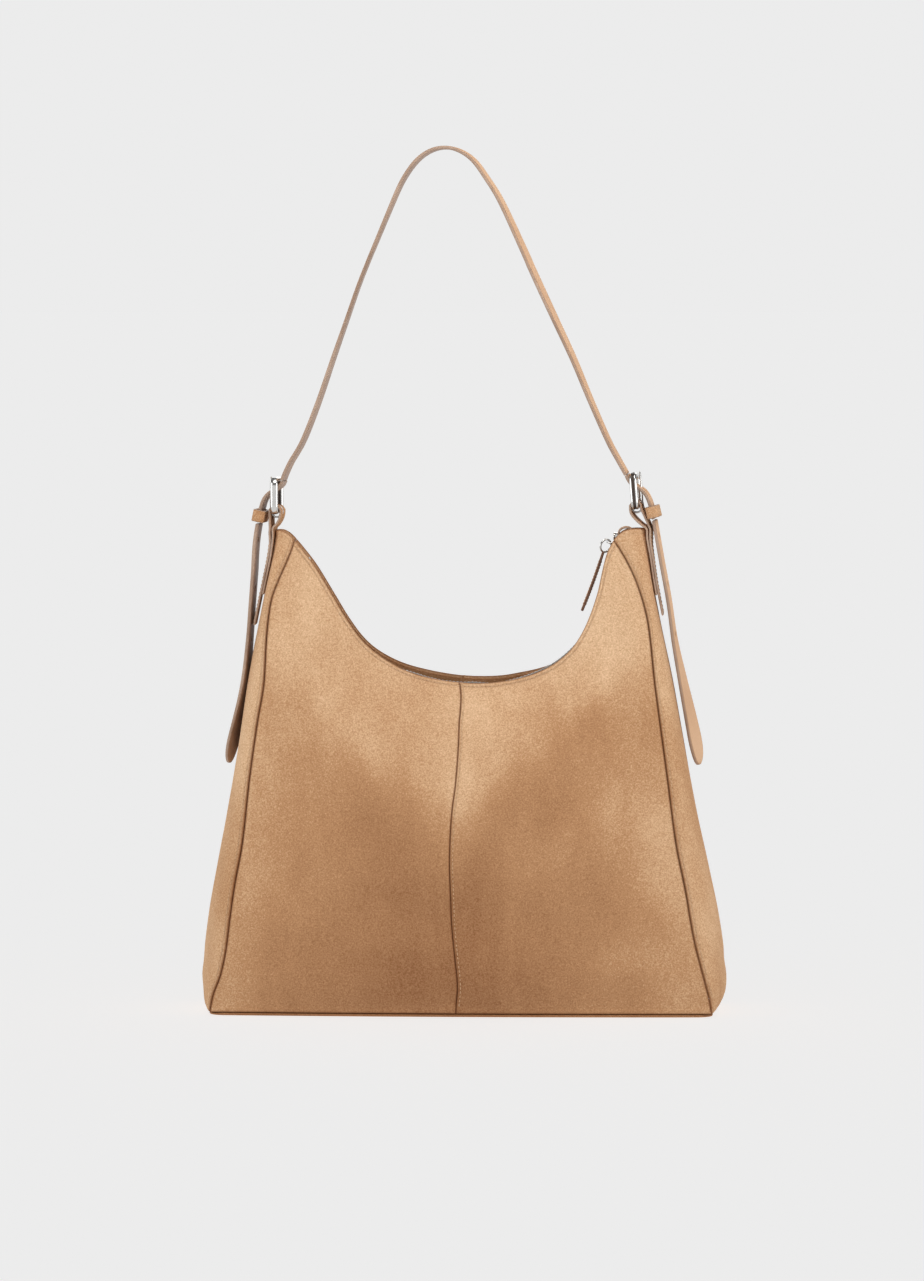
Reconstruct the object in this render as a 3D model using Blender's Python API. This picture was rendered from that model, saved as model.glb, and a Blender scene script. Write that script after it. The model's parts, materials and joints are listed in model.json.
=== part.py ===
"""Suede hobo shoulder bag with a zipped U-shaped mouth and a buckled strap.

Frame: +Z up, the bag stands on Z = 0, its front faces -Y and its width runs
along X. The origin is the middle of the footprint. Numbers are millimetres
and become metres when a mesh is made.
"""

import math

import bpy
import numpy as np

# ---- driving dimensions, mm ------------------------------------------------
HIDE = 2.0            # suede panel with its backing
GAP = 0.3             # clearance where two pieces meet
BASE_T = 2.2          # base panel
BASE_HALF_X = 189.0   # base panel, half length
BASE_HALF_Y = 52.0    # half depth of the base at its ends
BASE_BELLY = 5.0      # how much deeper the base is in the middle
SEAM_Z0, SEAM_Z1 = 2.5, 349.0     # gusset seam, bottom and top
HORN_Z = 360.0                    # top of the horns
MOUTH_HALF_Y = 14.0               # half width of the mouth at the rim
BULGE = 8.0                       # belly of the front and back

# half width of the bag at its side (z, x) and of the gusset seam (z, x)
SIDE = [(2.5, 193.5), (7, 198.3), (15, 200.4), (24, 200.4), (40, 198.4), (76, 192.7), (113, 185.6),
        (150, 178.0), (200, 168.6), (250, 159.6), (290, 151.0), (325, 144.0), (345, 140.6), (360, 138.4)]
SEAM = [(2.5, 187.0), (30, 179.8), (58, 174.4), (94, 168.4), (128, 162.2), (176, 156.0), (218, 149.8),
        (250, 144.6), (280, 142.2), (300, 139.8), (320, 133.4), (335, 126.0), (349, 118.5)]
# half depth of the bag along the gusset seam (z, y)
DEPTH = [(2.5, 52.0), (30, 53.0), (60, 51.0), (100, 46.0), (150, 40.0), (200, 33.0), (250, 26.0), (300, 19.0), (349, 13.0)]
# rim of the mouth, left corner to right corner (x, z)
RIM = [(-120.0, 349.0), (-109.4, 331.8), (-95.5, 308.7), (-86.0, 293.0), (-74.5, 277.6), (-60.5, 265.8),
       (-42.0, 255.6), (-20.0, 249.4), (8.0, 246.2), (32.0, 248.0), (52.0, 252.9), (68.5, 260.8), (80.5, 271.0),
       (89.0, 283.4), (95.4, 297.5), (100.6, 313.0), (104.8, 329.0), (110.0, 341.0), (117.0, 349.0)]

# zip: a circular track in the XZ plane
ZIP_CX, ZIP_CZ, ZIP_R = 2.5, 358.0, 113.0
ZIP_END = 88.5        # the slider's rest, degrees from straight down, towards +X
TAPE_END = 82.0
TEETH_Y0, TEETH_Y1, TEETH_T = 0.8, 3.3, 2.4
TAPE_Y1, TAPE_T = 10.2, 0.8
RING_R, RING_WIRE = 4.9, 0.7
BAR_IN, BAR_ON = 7.6, -3.9         # the slider's bail: centre of its top bar, from the track's centre line
PULL_DIR = (-0.34, 0.0, -0.9404)   # how the ring and the pull hang at rest
PULL_L, PULL_W0, PULL_W1, PULL_T = 47.0, 6.0, 10.0, 2.2

# strap and its hardware
STRAP_W, STRAP_T = 22.0, 3.2
YAW = math.radians(5.0)            # the strap hangs turned by this much
BAR_L, BAR_R = (-139.7, 373.9), (130.1, 377.8)      # heel bar centres (x, z)
TILT_L, TILT_R = 0.0, math.radians(-4.5)            # lean of each buckle in the XZ plane
FRAME_HY, FRAME_H = 13.8, 24.2     # buckle: half width between side bars, bar to bar height
BAR_A, BAR_B = 1.9, 2.8            # half sizes of the frame's section, in and across its plane
PRONG_W, PRONG_T = 3.0, 1.8
ARCH = [(-134.3, 398.6), (-129.0, 410.5), (-119.3, 427.5), (-107.6, 457.4), (-97.4, 487.4), (-86.9, 517.3), (-76.4, 547.2),
        (-64.0, 577.0), (-51.3, 606.9), (-44.6, 621.2), (-34.2, 635.4), (-23.6, 642.4), (-13.5, 644.4), (-3.4, 642.4),
        (7.9, 635.4), (17.9, 621.7), (27.6, 606.8), (41.8, 577.0), (55.3, 547.2), (69.1, 517.4), (83.0, 487.5), (95.4, 457.6),
        (108.6, 427.7), (116.6, 412.8), (122.4, 402.5)]
END_L = [(-140.0, 390.4), (-143.1, 388.8), (-146.3, 386.1), (-148.7, 382.2), (-150.4, 377.0), (-151.7, 371.0), (-152.7, 365.9)]
END_R = [(129.8, 393.4), (133.0, 391.7), (136.4, 388.7), (139.0, 384.5), (140.9, 379.3), (142.2, 374.0), (143.3, 369.0)]
TAIL_L = [(-152.9, 365.0), (-157.8, 337.4), (-160.5, 307.3), (-162.7, 277.2), (-165.7, 247.1), (-170.8, 217.0), (-175.4, 194.3), (-177.2, 184.8)]
TAIL_R = [(143.5, 368.1), (148.8, 338.0), (154.3, 308.0), (158.6, 278.0), (164.6, 248.0), (171.0, 218.0), (175.5, 195.4), (176.8, 184.4)]
TWIST_L, TWIST_R = math.radians(13), math.radians(24)
HOLES = [12.0, 49.0, 87.0]         # adjusting holes down each tail
KEEPER = (9.0, 27.2, 9.0, 1.8)     # outer x, outer y, height, wall
KEEP_L, KEEP_R = (-151.9, 370.9, 12.0), (142.6, 374.2, -13.0)   # x, z, lean in degrees

for old in list(bpy.data.objects):
    bpy.data.objects.remove(old)


# ---- helpers ---------------------------------------------------------------
def colour_of(name, rgb, rough, metal=0.0):
    m = bpy.data.materials.get(name) or bpy.data.materials.new(name)
    m.use_nodes = True
    b = m.node_tree.nodes["Principled BSDF"]
    b.inputs["Base Color"].default_value = (*rgb, 1.0)
    b.inputs["Roughness"].default_value = rough
    b.inputs["Metallic"].default_value = metal
    m.diffuse_color = (*rgb, 1.0)
    return m


SUEDE = colour_of("suede", (0.55, 0.33, 0.17), 0.95)
SMOOTH = colour_of("smooth_leather", (0.30, 0.20, 0.15), 0.55)
LINING = colour_of("lining_cloth", (0.42, 0.33, 0.25), 0.9)
BOARD = colour_of("board", (0.30, 0.27, 0.24), 0.8)
METAL = colour_of("nickel", (0.78, 0.77, 0.75), 0.18, 1.0)
TAPE = colour_of("zip_tape", (0.40, 0.30, 0.22), 0.9)


def make(name, verts, faces, material, smooth=True, flip=False):
    mesh = bpy.data.meshes.new(name)
    if flip:
        faces = [tuple(reversed(f)) for f in faces]
    mesh.from_pydata([tuple(float(c) / 1000.0 for c in v) for v in verts], [], faces)
    mesh.materials.append(material)
    if smooth:
        mesh.shade_smooth()
        mesh.set_sharp_from_angle(angle=math.radians(35))
    mesh.update()
    ob = bpy.data.objects.new(name, mesh)
    bpy.context.scene.collection.objects.link(ob)
    return ob


def volume(verts, faces):
    v = np.asarray(verts, float)
    total = 0.0
    for f in faces:
        for i in range(1, len(f) - 1):
            total += np.dot(v[f[0]], np.cross(v[f[i]], v[f[i + 1]]))
    return total / 6.0


def closed(name, verts, faces, material, smooth=True):
    """Makes a closed mesh with its faces pointing out."""
    return make(name, verts, faces, material, smooth, flip=volume(verts, faces) < 0)


def along(table, z):
    """Monotone cubic through a table of (z, value)."""
    x = np.array([p[0] for p in table], float)
    y = np.array([p[1] for p in table], float)
    h, d = np.diff(x), np.diff(y) / np.diff(x)
    m = np.zeros(len(x))
    m[0], m[-1] = d[0], d[-1]
    for i in range(1, len(x) - 1):
        if d[i - 1] * d[i] > 0:
            w1, w2 = 2 * h[i] + h[i - 1], h[i] + 2 * h[i - 1]
            m[i] = (w1 + w2) / (w1 / d[i - 1] + w2 / d[i])
    z = np.clip(np.asarray(z, float), x[0], x[-1])
    i = np.clip(np.searchsorted(x, z) - 1, 0, len(x) - 2)
    t = (z - x[i]) / h[i]
    return ((2 * t**3 - 3 * t**2 + 1) * y[i] + (t**3 - 2 * t**2 + t) * h[i] * m[i]
            + (-2 * t**3 + 3 * t**2) * y[i + 1] + (t**3 - t**2) * h[i] * m[i + 1])


def through(points, n):
    """n points evenly spaced on a smooth curve through the given ones."""
    p = np.array(points, float)
    ext = np.vstack([2 * p[0] - p[1], p, 2 * p[-1] - p[-2]])
    out = []
    for i in range(1, len(ext) - 2):
        a, b, c, d = ext[i - 1 : i + 3]
        for t in np.linspace(0, 1, 24, endpoint=False):
            out.append(0.5 * (2 * b + (c - a) * t + (2 * a - 5 * b + 4 * c - d) * t**2 + (3 * b - a - 3 * c + d) * t**3))
    out = np.array(out + [p[-1]])
    s = np.concatenate([[0], np.cumsum(np.linalg.norm(np.diff(out, axis=0), axis=1))])
    at = np.linspace(0, s[-1], n)
    return np.stack([np.interp(at, s, out[:, k]) for k in range(p.shape[1])], axis=1)


def step(a, b, x):
    t = np.clip((np.asarray(x, float) - a) / (b - a), 0, 1)
    return t * t * (3 - 2 * t)


def lean(z):
    """The soft upper half leans a little to the left."""
    return -2.4 * step(130, 290, z) + 0.9 * step(310, 352, z)


# ---- the shell's surfaces --------------------------------------------------
def rim_at(t):
    """The rim curve at t from 0 to 1 by length."""
    c = through(RIM, 241)
    f = np.clip(t, 0, 1) * 240
    return np.interp(f, np.arange(241), c[:, 0]), np.interp(f, np.arange(241), c[:, 1])


def panel_at(u, v, side):
    """Outer face of the front (side -1) or back (side 1) panel; u from -1 to 1 across, v from 0 to 1 up."""
    u, v = np.broadcast_arrays(np.asarray(u, float), np.asarray(v, float))
    t = (u + 1) / 2
    z_side = SEAM_Z0 + (SEAM_Z1 - SEAM_Z0) * v
    sx, sy = along(SEAM, z_side), along(DEPTH, z_side)
    left = np.stack([-sx + lean(z_side), sy, z_side], -1)
    right = np.stack([sx + lean(z_side), sy, z_side], -1)
    wide = along(SEAM, SEAM_Z0)
    bottom = np.stack([wide * u, BASE_HALF_Y + BASE_BELLY * (1 - u**2), np.full(u.shape, SEAM_Z0)], -1)
    tx, tz = rim_at(t)
    top = np.stack([tx, 13.0 + (MOUTH_HALF_Y - 13.0) * (1 - u**2), tz], -1)
    c00 = np.array([-wide, BASE_HALF_Y, SEAM_Z0])
    c10 = np.array([wide, BASE_HALF_Y, SEAM_Z0])
    c01 = np.array([RIM[0][0], 13.0, RIM[0][1]])
    c11 = np.array([RIM[-1][0], 13.0, RIM[-1][1]])
    T, V = t[..., None], v[..., None]
    p = (1 - V) * bottom + V * top + (1 - T) * left + T * right
    p = p - ((1 - T) * (1 - V) * c00 + T * (1 - V) * c10 + (1 - T) * V * c01 + T * V * c11)
    p[..., 1] += BULGE * 4 * v * (1 - v) * (1 - u**2)
    p[..., 1] *= side
    return p


def gusset_at(a, s, hand):
    """Outer face of a gusset; a from -90 (front seam) to 90 degrees (back seam), s from 0 to 1 up, hand -1 left or 1 right."""
    a, s = np.broadcast_arrays(np.asarray(a, float), np.asarray(s, float))
    zs = SEAM_Z0 + (SEAM_Z1 - SEAM_Z0) * s
    zw = SEAM_Z0 + (HORN_Z - SEAM_Z0) * s
    n = 2.0 + 1.0 * step(240, 345, zs)
    ca = np.clip(np.cos(np.radians(a)), 0, 1) ** (2 / n)
    sa = np.sign(a) * np.abs(np.sin(np.radians(a))) ** (2 / n)
    sx, wx = along(SEAM, zs), along(SIDE, zw)
    lean_s, lean_w = lean(zs), lean(zw)
    x = hand * (sx + (wx - sx) * ca) + lean_s + (lean_w - lean_s) * ca
    y = along(DEPTH, zs) * sa
    z = zs + (zw - zs) * ca
    return np.stack([x, y, z], -1)


def normals(f, u, v, outward):
    e = 1e-4
    du = f(u + e, v) - f(u - e, v)
    dv = f(u, v + e) - f(u, v - e)
    n = np.cross(du, dv)
    n /= np.maximum(np.linalg.norm(n, axis=-1, keepdims=True), 1e-12)
    return n * outward


def sheet_solid(name, f, us, vs, out, depth0, depth1, material):
    """A sheet that follows the surface f(u, v), between two depths under it."""
    U, V = np.meshgrid(us, vs, indexing="ij")
    p, n = f(U, V), normals(f, U, V, out)
    outer, inner = p - n * depth0, p - n * depth1
    nu, nv = len(us), len(vs)
    verts = np.concatenate([outer.reshape(-1, 3), inner.reshape(-1, 3)])
    k, faces = nu * nv, []
    for i in range(nu - 1):
        for j in range(nv - 1):
            a, b, c, d = i * nv + j, (i + 1) * nv + j, (i + 1) * nv + j + 1, i * nv + j + 1
            faces += [(a, b, c), (a, c, d), (k + c, k + b, k + a), (k + d, k + c, k + a)]
    edge = [i * nv for i in range(nu)] + [(nu - 1) * nv + j for j in range(1, nv)]
    edge += [i * nv + nv - 1 for i in range(nu - 2, -1, -1)] + [j for j in range(nv - 2, 0, -1)]
    for a, b in zip(edge, edge[1:] + edge[:1]):
        faces.append((b, a, k + a, k + b))
    return closed(name, verts, faces, material)


def panel(name, side, us, vs, depth0, depth1, material):
    f = lambda u, v: panel_at(u, v, side)
    probe = normals(f, np.array([0.3]), np.array([0.5]), 1.0)[0]
    out = 1.0 if probe[1] * side > 0 else -1.0
    return sheet_solid(name, f, np.array(us), np.array(vs), out, depth0, depth1, material)


def gusset(name, hand, angles, ss, depth0, depth1, material):
    f = lambda a, s: gusset_at(a, s, hand)
    probe = normals(f, np.array([10.0]), np.array([0.5]), 1.0)[0]
    out = 1.0 if probe[0] * hand > 0 else -1.0
    return sheet_solid(name, f, np.array(angles), np.array(ss), out, depth0, depth1, material)


# ---- bag body --------------------------------------------------------------
# the stations are shared, so that each layer nests in the one outside it
U_HALF = [0.0016, 0.12, 0.28, 0.44, 0.60, 0.76, 0.90, 0.9965]
U_ALL = [-u for u in U_HALF[::-1]] + U_HALF
V_ALL = [0.0, 0.014, 0.09, 0.19, 0.30, 0.42, 0.54, 0.66, 0.78, 0.885, 1.0]
for side, word in ((-1, "front"), (1, "back")):
    panel(f"{word}_panel_left", side, U_ALL[:8], V_ALL, 0.0, HIDE, SUEDE)
    panel(f"{word}_panel_right", side, U_ALL[8:], V_ALL, 0.0, HIDE, SUEDE)
    panel(f"{word}_facing", side, U_ALL[1:-1], [0.892, 0.993], HIDE + GAP, HIDE + GAP + 1.1, SUEDE)
    panel(f"{word}_lining", side, U_ALL[1:-1], V_ALL[1:-1], HIDE + GAP, HIDE + GAP + 0.8, LINING)
panel("inner_pocket", 1, U_ALL[4:-4], V_ALL[5:9], HIDE + 1.6, HIDE + 2.4, LINING)

LEVELS = [0.0, 0.012, 0.03, 0.06, 0.11, 0.20, 0.32, 0.46, 0.60, 0.73, 0.83, 0.90, 0.955, 1.0]
AROUND = [-88.5, -66.0, -44.0, -22.0, 0.0, 22.0, 44.0, 66.0, 88.5]
for hand, word in ((-1, "left"), (1, "right")):
    gusset(f"{word}_gusset", hand, AROUND, LEVELS, 0.0, HIDE, SUEDE)
    gusset(f"{word}_gusset_lining", hand, AROUND[1:-1], LEVELS[2:-3], HIDE + GAP, HIDE + GAP + 0.8, LINING)


def slab(name, half_x, half_y, belly, z0, z1, material, n=14, corner=10.0, bevel=0.0):
    """A plate with bowed long sides and rounded corners."""
    pts = []
    for i in range(n + 1):
        x = -half_x + corner + (2 * half_x - 2 * corner) * i / n
        pts.append((x, -(half_y + belly * (1 - (x / half_x) ** 2))))
    for k in range(1, 6):
        a = math.radians(-90 + 180 * k / 6)
        c = half_y - corner
        pts.append((half_x - corner + corner * math.cos(a), (c if a > 0 else -c) * (1 if abs(a) > 1e-6 else 0) + corner * math.sin(a)))
    right = [(x, -y) for x, y in pts[: n + 1]][::-1]
    left = [(-x, y) for x, y in pts[n + 1 :]][::-1]
    ring = pts + right + left
    k = len(ring)
    if bevel:
        shrink = [(x * (1 - bevel / half_x), y * (1 - bevel / half_y)) for x, y in ring]
        verts = [(x, y, z0) for x, y in shrink] + [(x, y, z0 + bevel) for x, y in ring] + [(x, y, z1) for x, y in ring]
        layers = 3
    else:
        verts = [(x, y, z0) for x, y in ring] + [(x, y, z1) for x, y in ring]
        layers = 2
    faces = [tuple(range(k))[::-1], tuple(range((layers - 1) * k, layers * k))]
    for m in range(layers - 1):
        for i in range(k):
            j = (i + 1) % k
            faces.append((m * k + i, m * k + j, (m + 1) * k + j, (m + 1) * k + i))
    return closed(name, verts, faces, material)


slab("base_panel", BASE_HALF_X + 3.0, BASE_HALF_Y, BASE_BELLY, 0.0, BASE_T, SUEDE, corner=14.0, bevel=0.8)
slab("base_board", 172.0, 43.0, 3.0, BASE_T + GAP, BASE_T + GAP + 1.6, BOARD, corner=12.0)


# ---- zip -------------------------------------------------------------------
def arc_strip(name, r0, r1, y0, y1, a0, a1, material, n):
    """A strip that follows the zip's track between two radii; angles in degrees from straight down, + towards +X."""
    verts, faces = [], []
    for i in range(n + 1):
        a = math.radians(a0 + (a1 - a0) * i / n)
        for r, y in ((r0, y0), (r0, y1), (r1, y1), (r1, y0)):
            verts.append((ZIP_CX + r * math.sin(a), y, ZIP_CZ - r * math.cos(a)))
    for i in range(n):
        for k in range(4):
            faces.append((4 * i + k, 4 * i + (k + 1) % 4, 4 * i + 4 + (k + 1) % 4, 4 * i + 4 + k))
    faces += [(0, 3, 2, 1), (4 * n, 4 * n + 1, 4 * n + 2, 4 * n + 3)]
    return closed(name, verts, faces, material)


for side, word in ((-1, "front"), (1, "back")):
    arc_strip(f"zip_tape_{word}", ZIP_R - TAPE_T / 2, ZIP_R + TAPE_T / 2, side * (TEETH_Y1 + GAP), side * TAPE_Y1, -TAPE_END, TAPE_END, TAPE, 30)
    arc_strip(f"zip_teeth_{word}", ZIP_R - TEETH_T / 2, ZIP_R + TEETH_T / 2, side * TEETH_Y0, side * TEETH_Y1, -TAPE_END, TAPE_END, METAL, 30)


def on_track(a_deg, inward=0.0, onward=0.0):
    """A point in the XZ plane: a_deg along the track, moved towards its centre and along its tangent."""
    a = math.radians(a_deg)
    return (ZIP_CX + (ZIP_R - inward) * math.sin(a) + onward * math.cos(a),
            ZIP_CZ - (ZIP_R - inward) * math.cos(a) + onward * math.sin(a))


def box_on_track(a_deg, i0, i1, t0, t1, y0, y1, shrink=0.0):
    """Corners and faces of a block set on the track: inward i0..i1, along it t0..t1, across y0..y1; shrink narrows the inward face."""
    verts = []
    for i, s in ((i0, 0.0), (i1, shrink)):
        for t, y in ((t0 + s, y0 + s), (t1 - s, y0 + s), (t1 - s, y1 - s), (t0 + s, y1 - s)):
            x, z = on_track(a_deg, i, t)
            verts.append((x, y, z))
    faces = [(0, 1, 2, 3), (7, 6, 5, 4), (0, 4, 5, 1), (1, 5, 6, 2), (2, 6, 7, 3), (3, 7, 4, 0)]
    return verts, faces


def join(ob, others, operation="UNION"):
    """Boolean with each other object, which then stays as a hidden helper."""
    for o in others:
        m = ob.modifiers.new(operation.lower(), "BOOLEAN")
        m.operation, m.object, m.solver = operation, o, "EXACT"
        o.hide_render, o.display_type = True, "WIRE"
    return ob


plate = TEETH_T / 2 + 0.5
slider = closed("zip_slider", *box_on_track(ZIP_END, plate, plate + 1.3, -4.5, 5.2, -4.6, 4.6, 0.4), METAL)
join(slider, [
    closed("slider_lower_helper", *box_on_track(ZIP_END, -plate, -plate - 1.3, -4.5, 5.2, -4.6, 4.6, 0.4), METAL),
    closed("slider_blade_helper", *box_on_track(ZIP_END, -plate - 0.8, plate + 0.8, -4.0, 3.8, -0.45, 0.45), METAL),
    closed("slider_bail_foot_a_helper", *box_on_track(ZIP_END, plate + 0.7, BAR_IN + 0.55, BAR_ON - 0.5, BAR_ON + 0.5, -2.9, -1.5), METAL),
    closed("slider_bail_foot_b_helper", *box_on_track(ZIP_END, plate + 0.7, BAR_IN + 0.55, BAR_ON - 0.5, BAR_ON + 0.5, 1.5, 2.9), METAL),
    closed("slider_bail_top_helper", *box_on_track(ZIP_END, BAR_IN - 0.6, BAR_IN + 0.6, BAR_ON - 0.6, BAR_ON + 0.6, -2.8, 2.8), METAL),
])


def tube(points, width_dir, a, b, m=8, closed_loop=False):
    """Sweeps an ellipse (a in the plane's outward direction, b along width_dir) along a path of 3-D points."""
    p = np.array(points, float)
    w = np.array(width_dir, float)
    n, verts, faces = len(p), [], []
    for i in range(n):
        if closed_loop:
            t = p[(i + 1) % n] - p[i - 1]
        else:
            t = p[min(i + 1, n - 1)] - p[max(i - 1, 0)]
        t /= np.linalg.norm(t)
        o = np.cross(t, w)
        o /= np.linalg.norm(o)
        for k in range(m):
            q = 2 * math.pi * k / m
            verts.append(p[i] + o * a * math.cos(q) + w * b * math.sin(q))
    for i in range(n if closed_loop else n - 1):
        for k in range(m):
            i1, k1 = (i + 1) % n, (k + 1) % m
            faces.append((i * m + k, i * m + k1, i1 * m + k1, i1 * m + k))
    if not closed_loop:
        faces += [tuple(range(m))[::-1], tuple(range((n - 1) * m, n * m))]
    return verts, faces


bx, bz = on_track(ZIP_END, BAR_IN, BAR_ON)
pull_dir = np.array(PULL_DIR) / np.linalg.norm(PULL_DIR)
RING_C = np.array([bx, 0.0, bz]) + pull_dir * (RING_R - RING_WIRE - 1.3)
ring = [RING_C + RING_R * np.array([math.cos(q), 0, math.sin(q)]) for q in np.linspace(0, 2 * math.pi, 24, endpoint=False)]
closed("zip_pull_ring", *tube(ring, (0, 1, 0), RING_WIRE, RING_WIRE, 6, True), METAL)


def strip(points, widths, width_dirs, thick, material, name):
    """A flat strip along 3-D points: its width along width_dirs, its thickness square to both."""
    p, w = np.array(points, float), np.array(width_dirs, float)
    n = len(p)
    widths = np.broadcast_to(np.asarray(widths, float), (n,))
    verts, faces = [], []
    for i in range(n):
        t = p[min(i + 1, n - 1)] - p[max(i - 1, 0)]
        t /= np.linalg.norm(t)
        o = np.cross(t, w[i])
        o /= np.linalg.norm(o)
        for sw, so in ((-1, -1), (1, -1), (1, 1), (-1, 1)):
            verts.append(p[i] + w[i] * sw * widths[i] / 2 + o * so * thick / 2)
    for i in range(n - 1):
        for k in range(4):
            faces.append((4 * i + k, 4 * i + (k + 1) % 4, 4 * i + 4 + (k + 1) % 4, 4 * i + 4 + k))
    faces += [(3, 2, 1, 0), (4 * n - 4, 4 * n - 3, 4 * n - 2, 4 * n - 1)]
    return closed(name, verts, faces, material)


# the leather pull hangs from the ring and lies in the mouth
start = RING_C + pull_dir * (RING_R - RING_WIRE - 2.2)
pts = [start + pull_dir * (2.9 + PULL_L * k / 8) for k in range(9)]
pull = strip(pts, np.linspace(PULL_W0, PULL_W1, 9), [(0, 1, 0)] * 9, PULL_T, SUEDE, "zip_pull_tab")
ring_hole = closed("pull_ring_helper", *tube(ring, (0, 1, 0), RING_WIRE + GAP, RING_WIRE + GAP, 8, True), SUEDE)
join(pull, [ring_hole], "DIFFERENCE")

# tabs over the zip's ends, each running up into its horn
for hand, word, a_end in ((-1, "left", -TAPE_END - 0.6), (1, "right", 92.2)):
    p0 = on_track(a_end, 0.0)
    if hand < 0:
        path = [p0, (p0[0] - 1.5, p0[1] + 7.0), (p0[0] - 6.0, p0[1] + 12.5)]
    else:
        path = [p0, (p0[0] + 1.4, p0[1] + 2.1), (p0[0] + 4.4, p0[1] + 2.6), (p0[0] + 8.0, p0[1] + 0.2), (p0[0] + 10.6, p0[1] - 4.6)]
    c = through(path, 9)
    strip([(x, 0, z) for x, z in c], 15.0, [(0, 1, 0)] * 9, 1.4, SUEDE, f"zip_end_tab_{word}")
closed("zip_bottom_stop", *box_on_track(-TAPE_END + 1.6, TEETH_T / 2 + GAP, TEETH_T / 2 + 1.5, -1.6, 1.6, -3.4, 3.4, 0.3), METAL)

# ---- strap, tails and hardware --------------------------------------------
YDIR = np.array([math.sin(YAW), math.cos(YAW), 0.0])


def turned(points, yaw_from=YAW, yaw_to=YAW):
    n = len(points)
    ang = np.linspace(yaw_from, yaw_to, n)
    return [(math.sin(a), math.cos(a), 0.0) for a in ang]


whole = END_L[::-1] + [(-136.7, 392.8), (-134.7, 395.7)] + ARCH + [(124.6, 398.3), (126.8, 395.3)] + END_R
line = through(whole, 1201)
length = np.concatenate([[0], np.cumsum(np.linalg.norm(np.diff(line, axis=0), axis=1))])
cut_l = float(np.interp(397.3, line[:200, 1], length[:200]))
cut_r = float(length[-1] - np.interp(400.2, line[-200:, 1][::-1], (length[-1] - length[-200:])[::-1]))


def stretch(s0, s1, n):
    at = np.linspace(s0, s1, n)
    return np.stack([np.interp(at, length, line[:, k]) for k in (0, 1)], axis=1)


c = stretch(cut_l, cut_r, 58)
strip([(x, 0, z) for x, z in c], STRAP_W, turned(c), STRAP_T, SUEDE, "strap")
for word, tail_pts, twist, hand in (("left", TAIL_L, TWIST_L, -1), ("right", TAIL_R, TWIST_R, 1)):
    c = stretch(0.0, cut_l - 0.45, 12) if hand < 0 else stretch(cut_r + 0.45, length[-1], 12)
    ob = strip([(x, 0, z) for x, z in c], STRAP_W, turned(c), STRAP_T, SUEDE, f"strap_end_{word}")
    bar = BAR_L if hand < 0 else BAR_R
    # the hole the prong stands in is long enough for the prong's play
    slot = tube([(bar[0] + hand * 0.5, 0, bar[1] + 13.5), (bar[0] + hand * 9.0, 0, bar[1] + 16.5)], (0, 1, 0), 6.5, 2.4, 10)
    join(ob, [closed(f"strap_end_{word}_helper", *slot, SUEDE)], "DIFFERENCE")
    # tail: pointed end, holes down its middle
    n = 26
    c = through(tail_pts, n)
    s = np.concatenate([[0], np.cumsum(np.linalg.norm(np.diff(c, axis=0), axis=1))])
    left_over = s[-1] - s
    point = 1 - (np.clip(24 - left_over, 0, 24) / 24) ** 2.2
    widths = STRAP_W * np.sqrt(np.clip(point, 0.03, 1))
    dirs = [(math.sin(a), math.cos(a), 0.0) for a in YAW + (twist - YAW) * step(70, s[-1], s)]
    ob = strip([(x, 0, z) for x, z in c], widths, dirs, STRAP_T, SUEDE, f"{word}_tail")
    cutters = []
    for h_i, h in enumerate(HOLES):
        x, z = np.interp(h, s, c[:, 0]), np.interp(h, s, c[:, 1])
        t = np.array([np.interp(h + 2, s, c[:, 0]) - x, 0, np.interp(h + 2, s, c[:, 1]) - z])
        t /= np.linalg.norm(t)
        o = np.array([-t[2], 0, t[0]])
        mid = np.array([x, 0, z])
        hole = tube([mid - o * 6, mid + o * 6], (0, 1, 0), 1.6, 1.6, 8)
        cutters.append(closed(f"{word}_tail_hole_{h_i}_helper", *hole, SUEDE))
    join(ob, cutters, "DIFFERENCE")


def local_frame(bar, tilt):
    """Axes of a buckle: across (its bar), up, and its centre line's origin."""
    base = np.array([bar[0], 0.0, bar[1]])
    up = np.array([math.sin(tilt), 0.0, math.cos(tilt)])
    return base, YDIR, up


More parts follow.
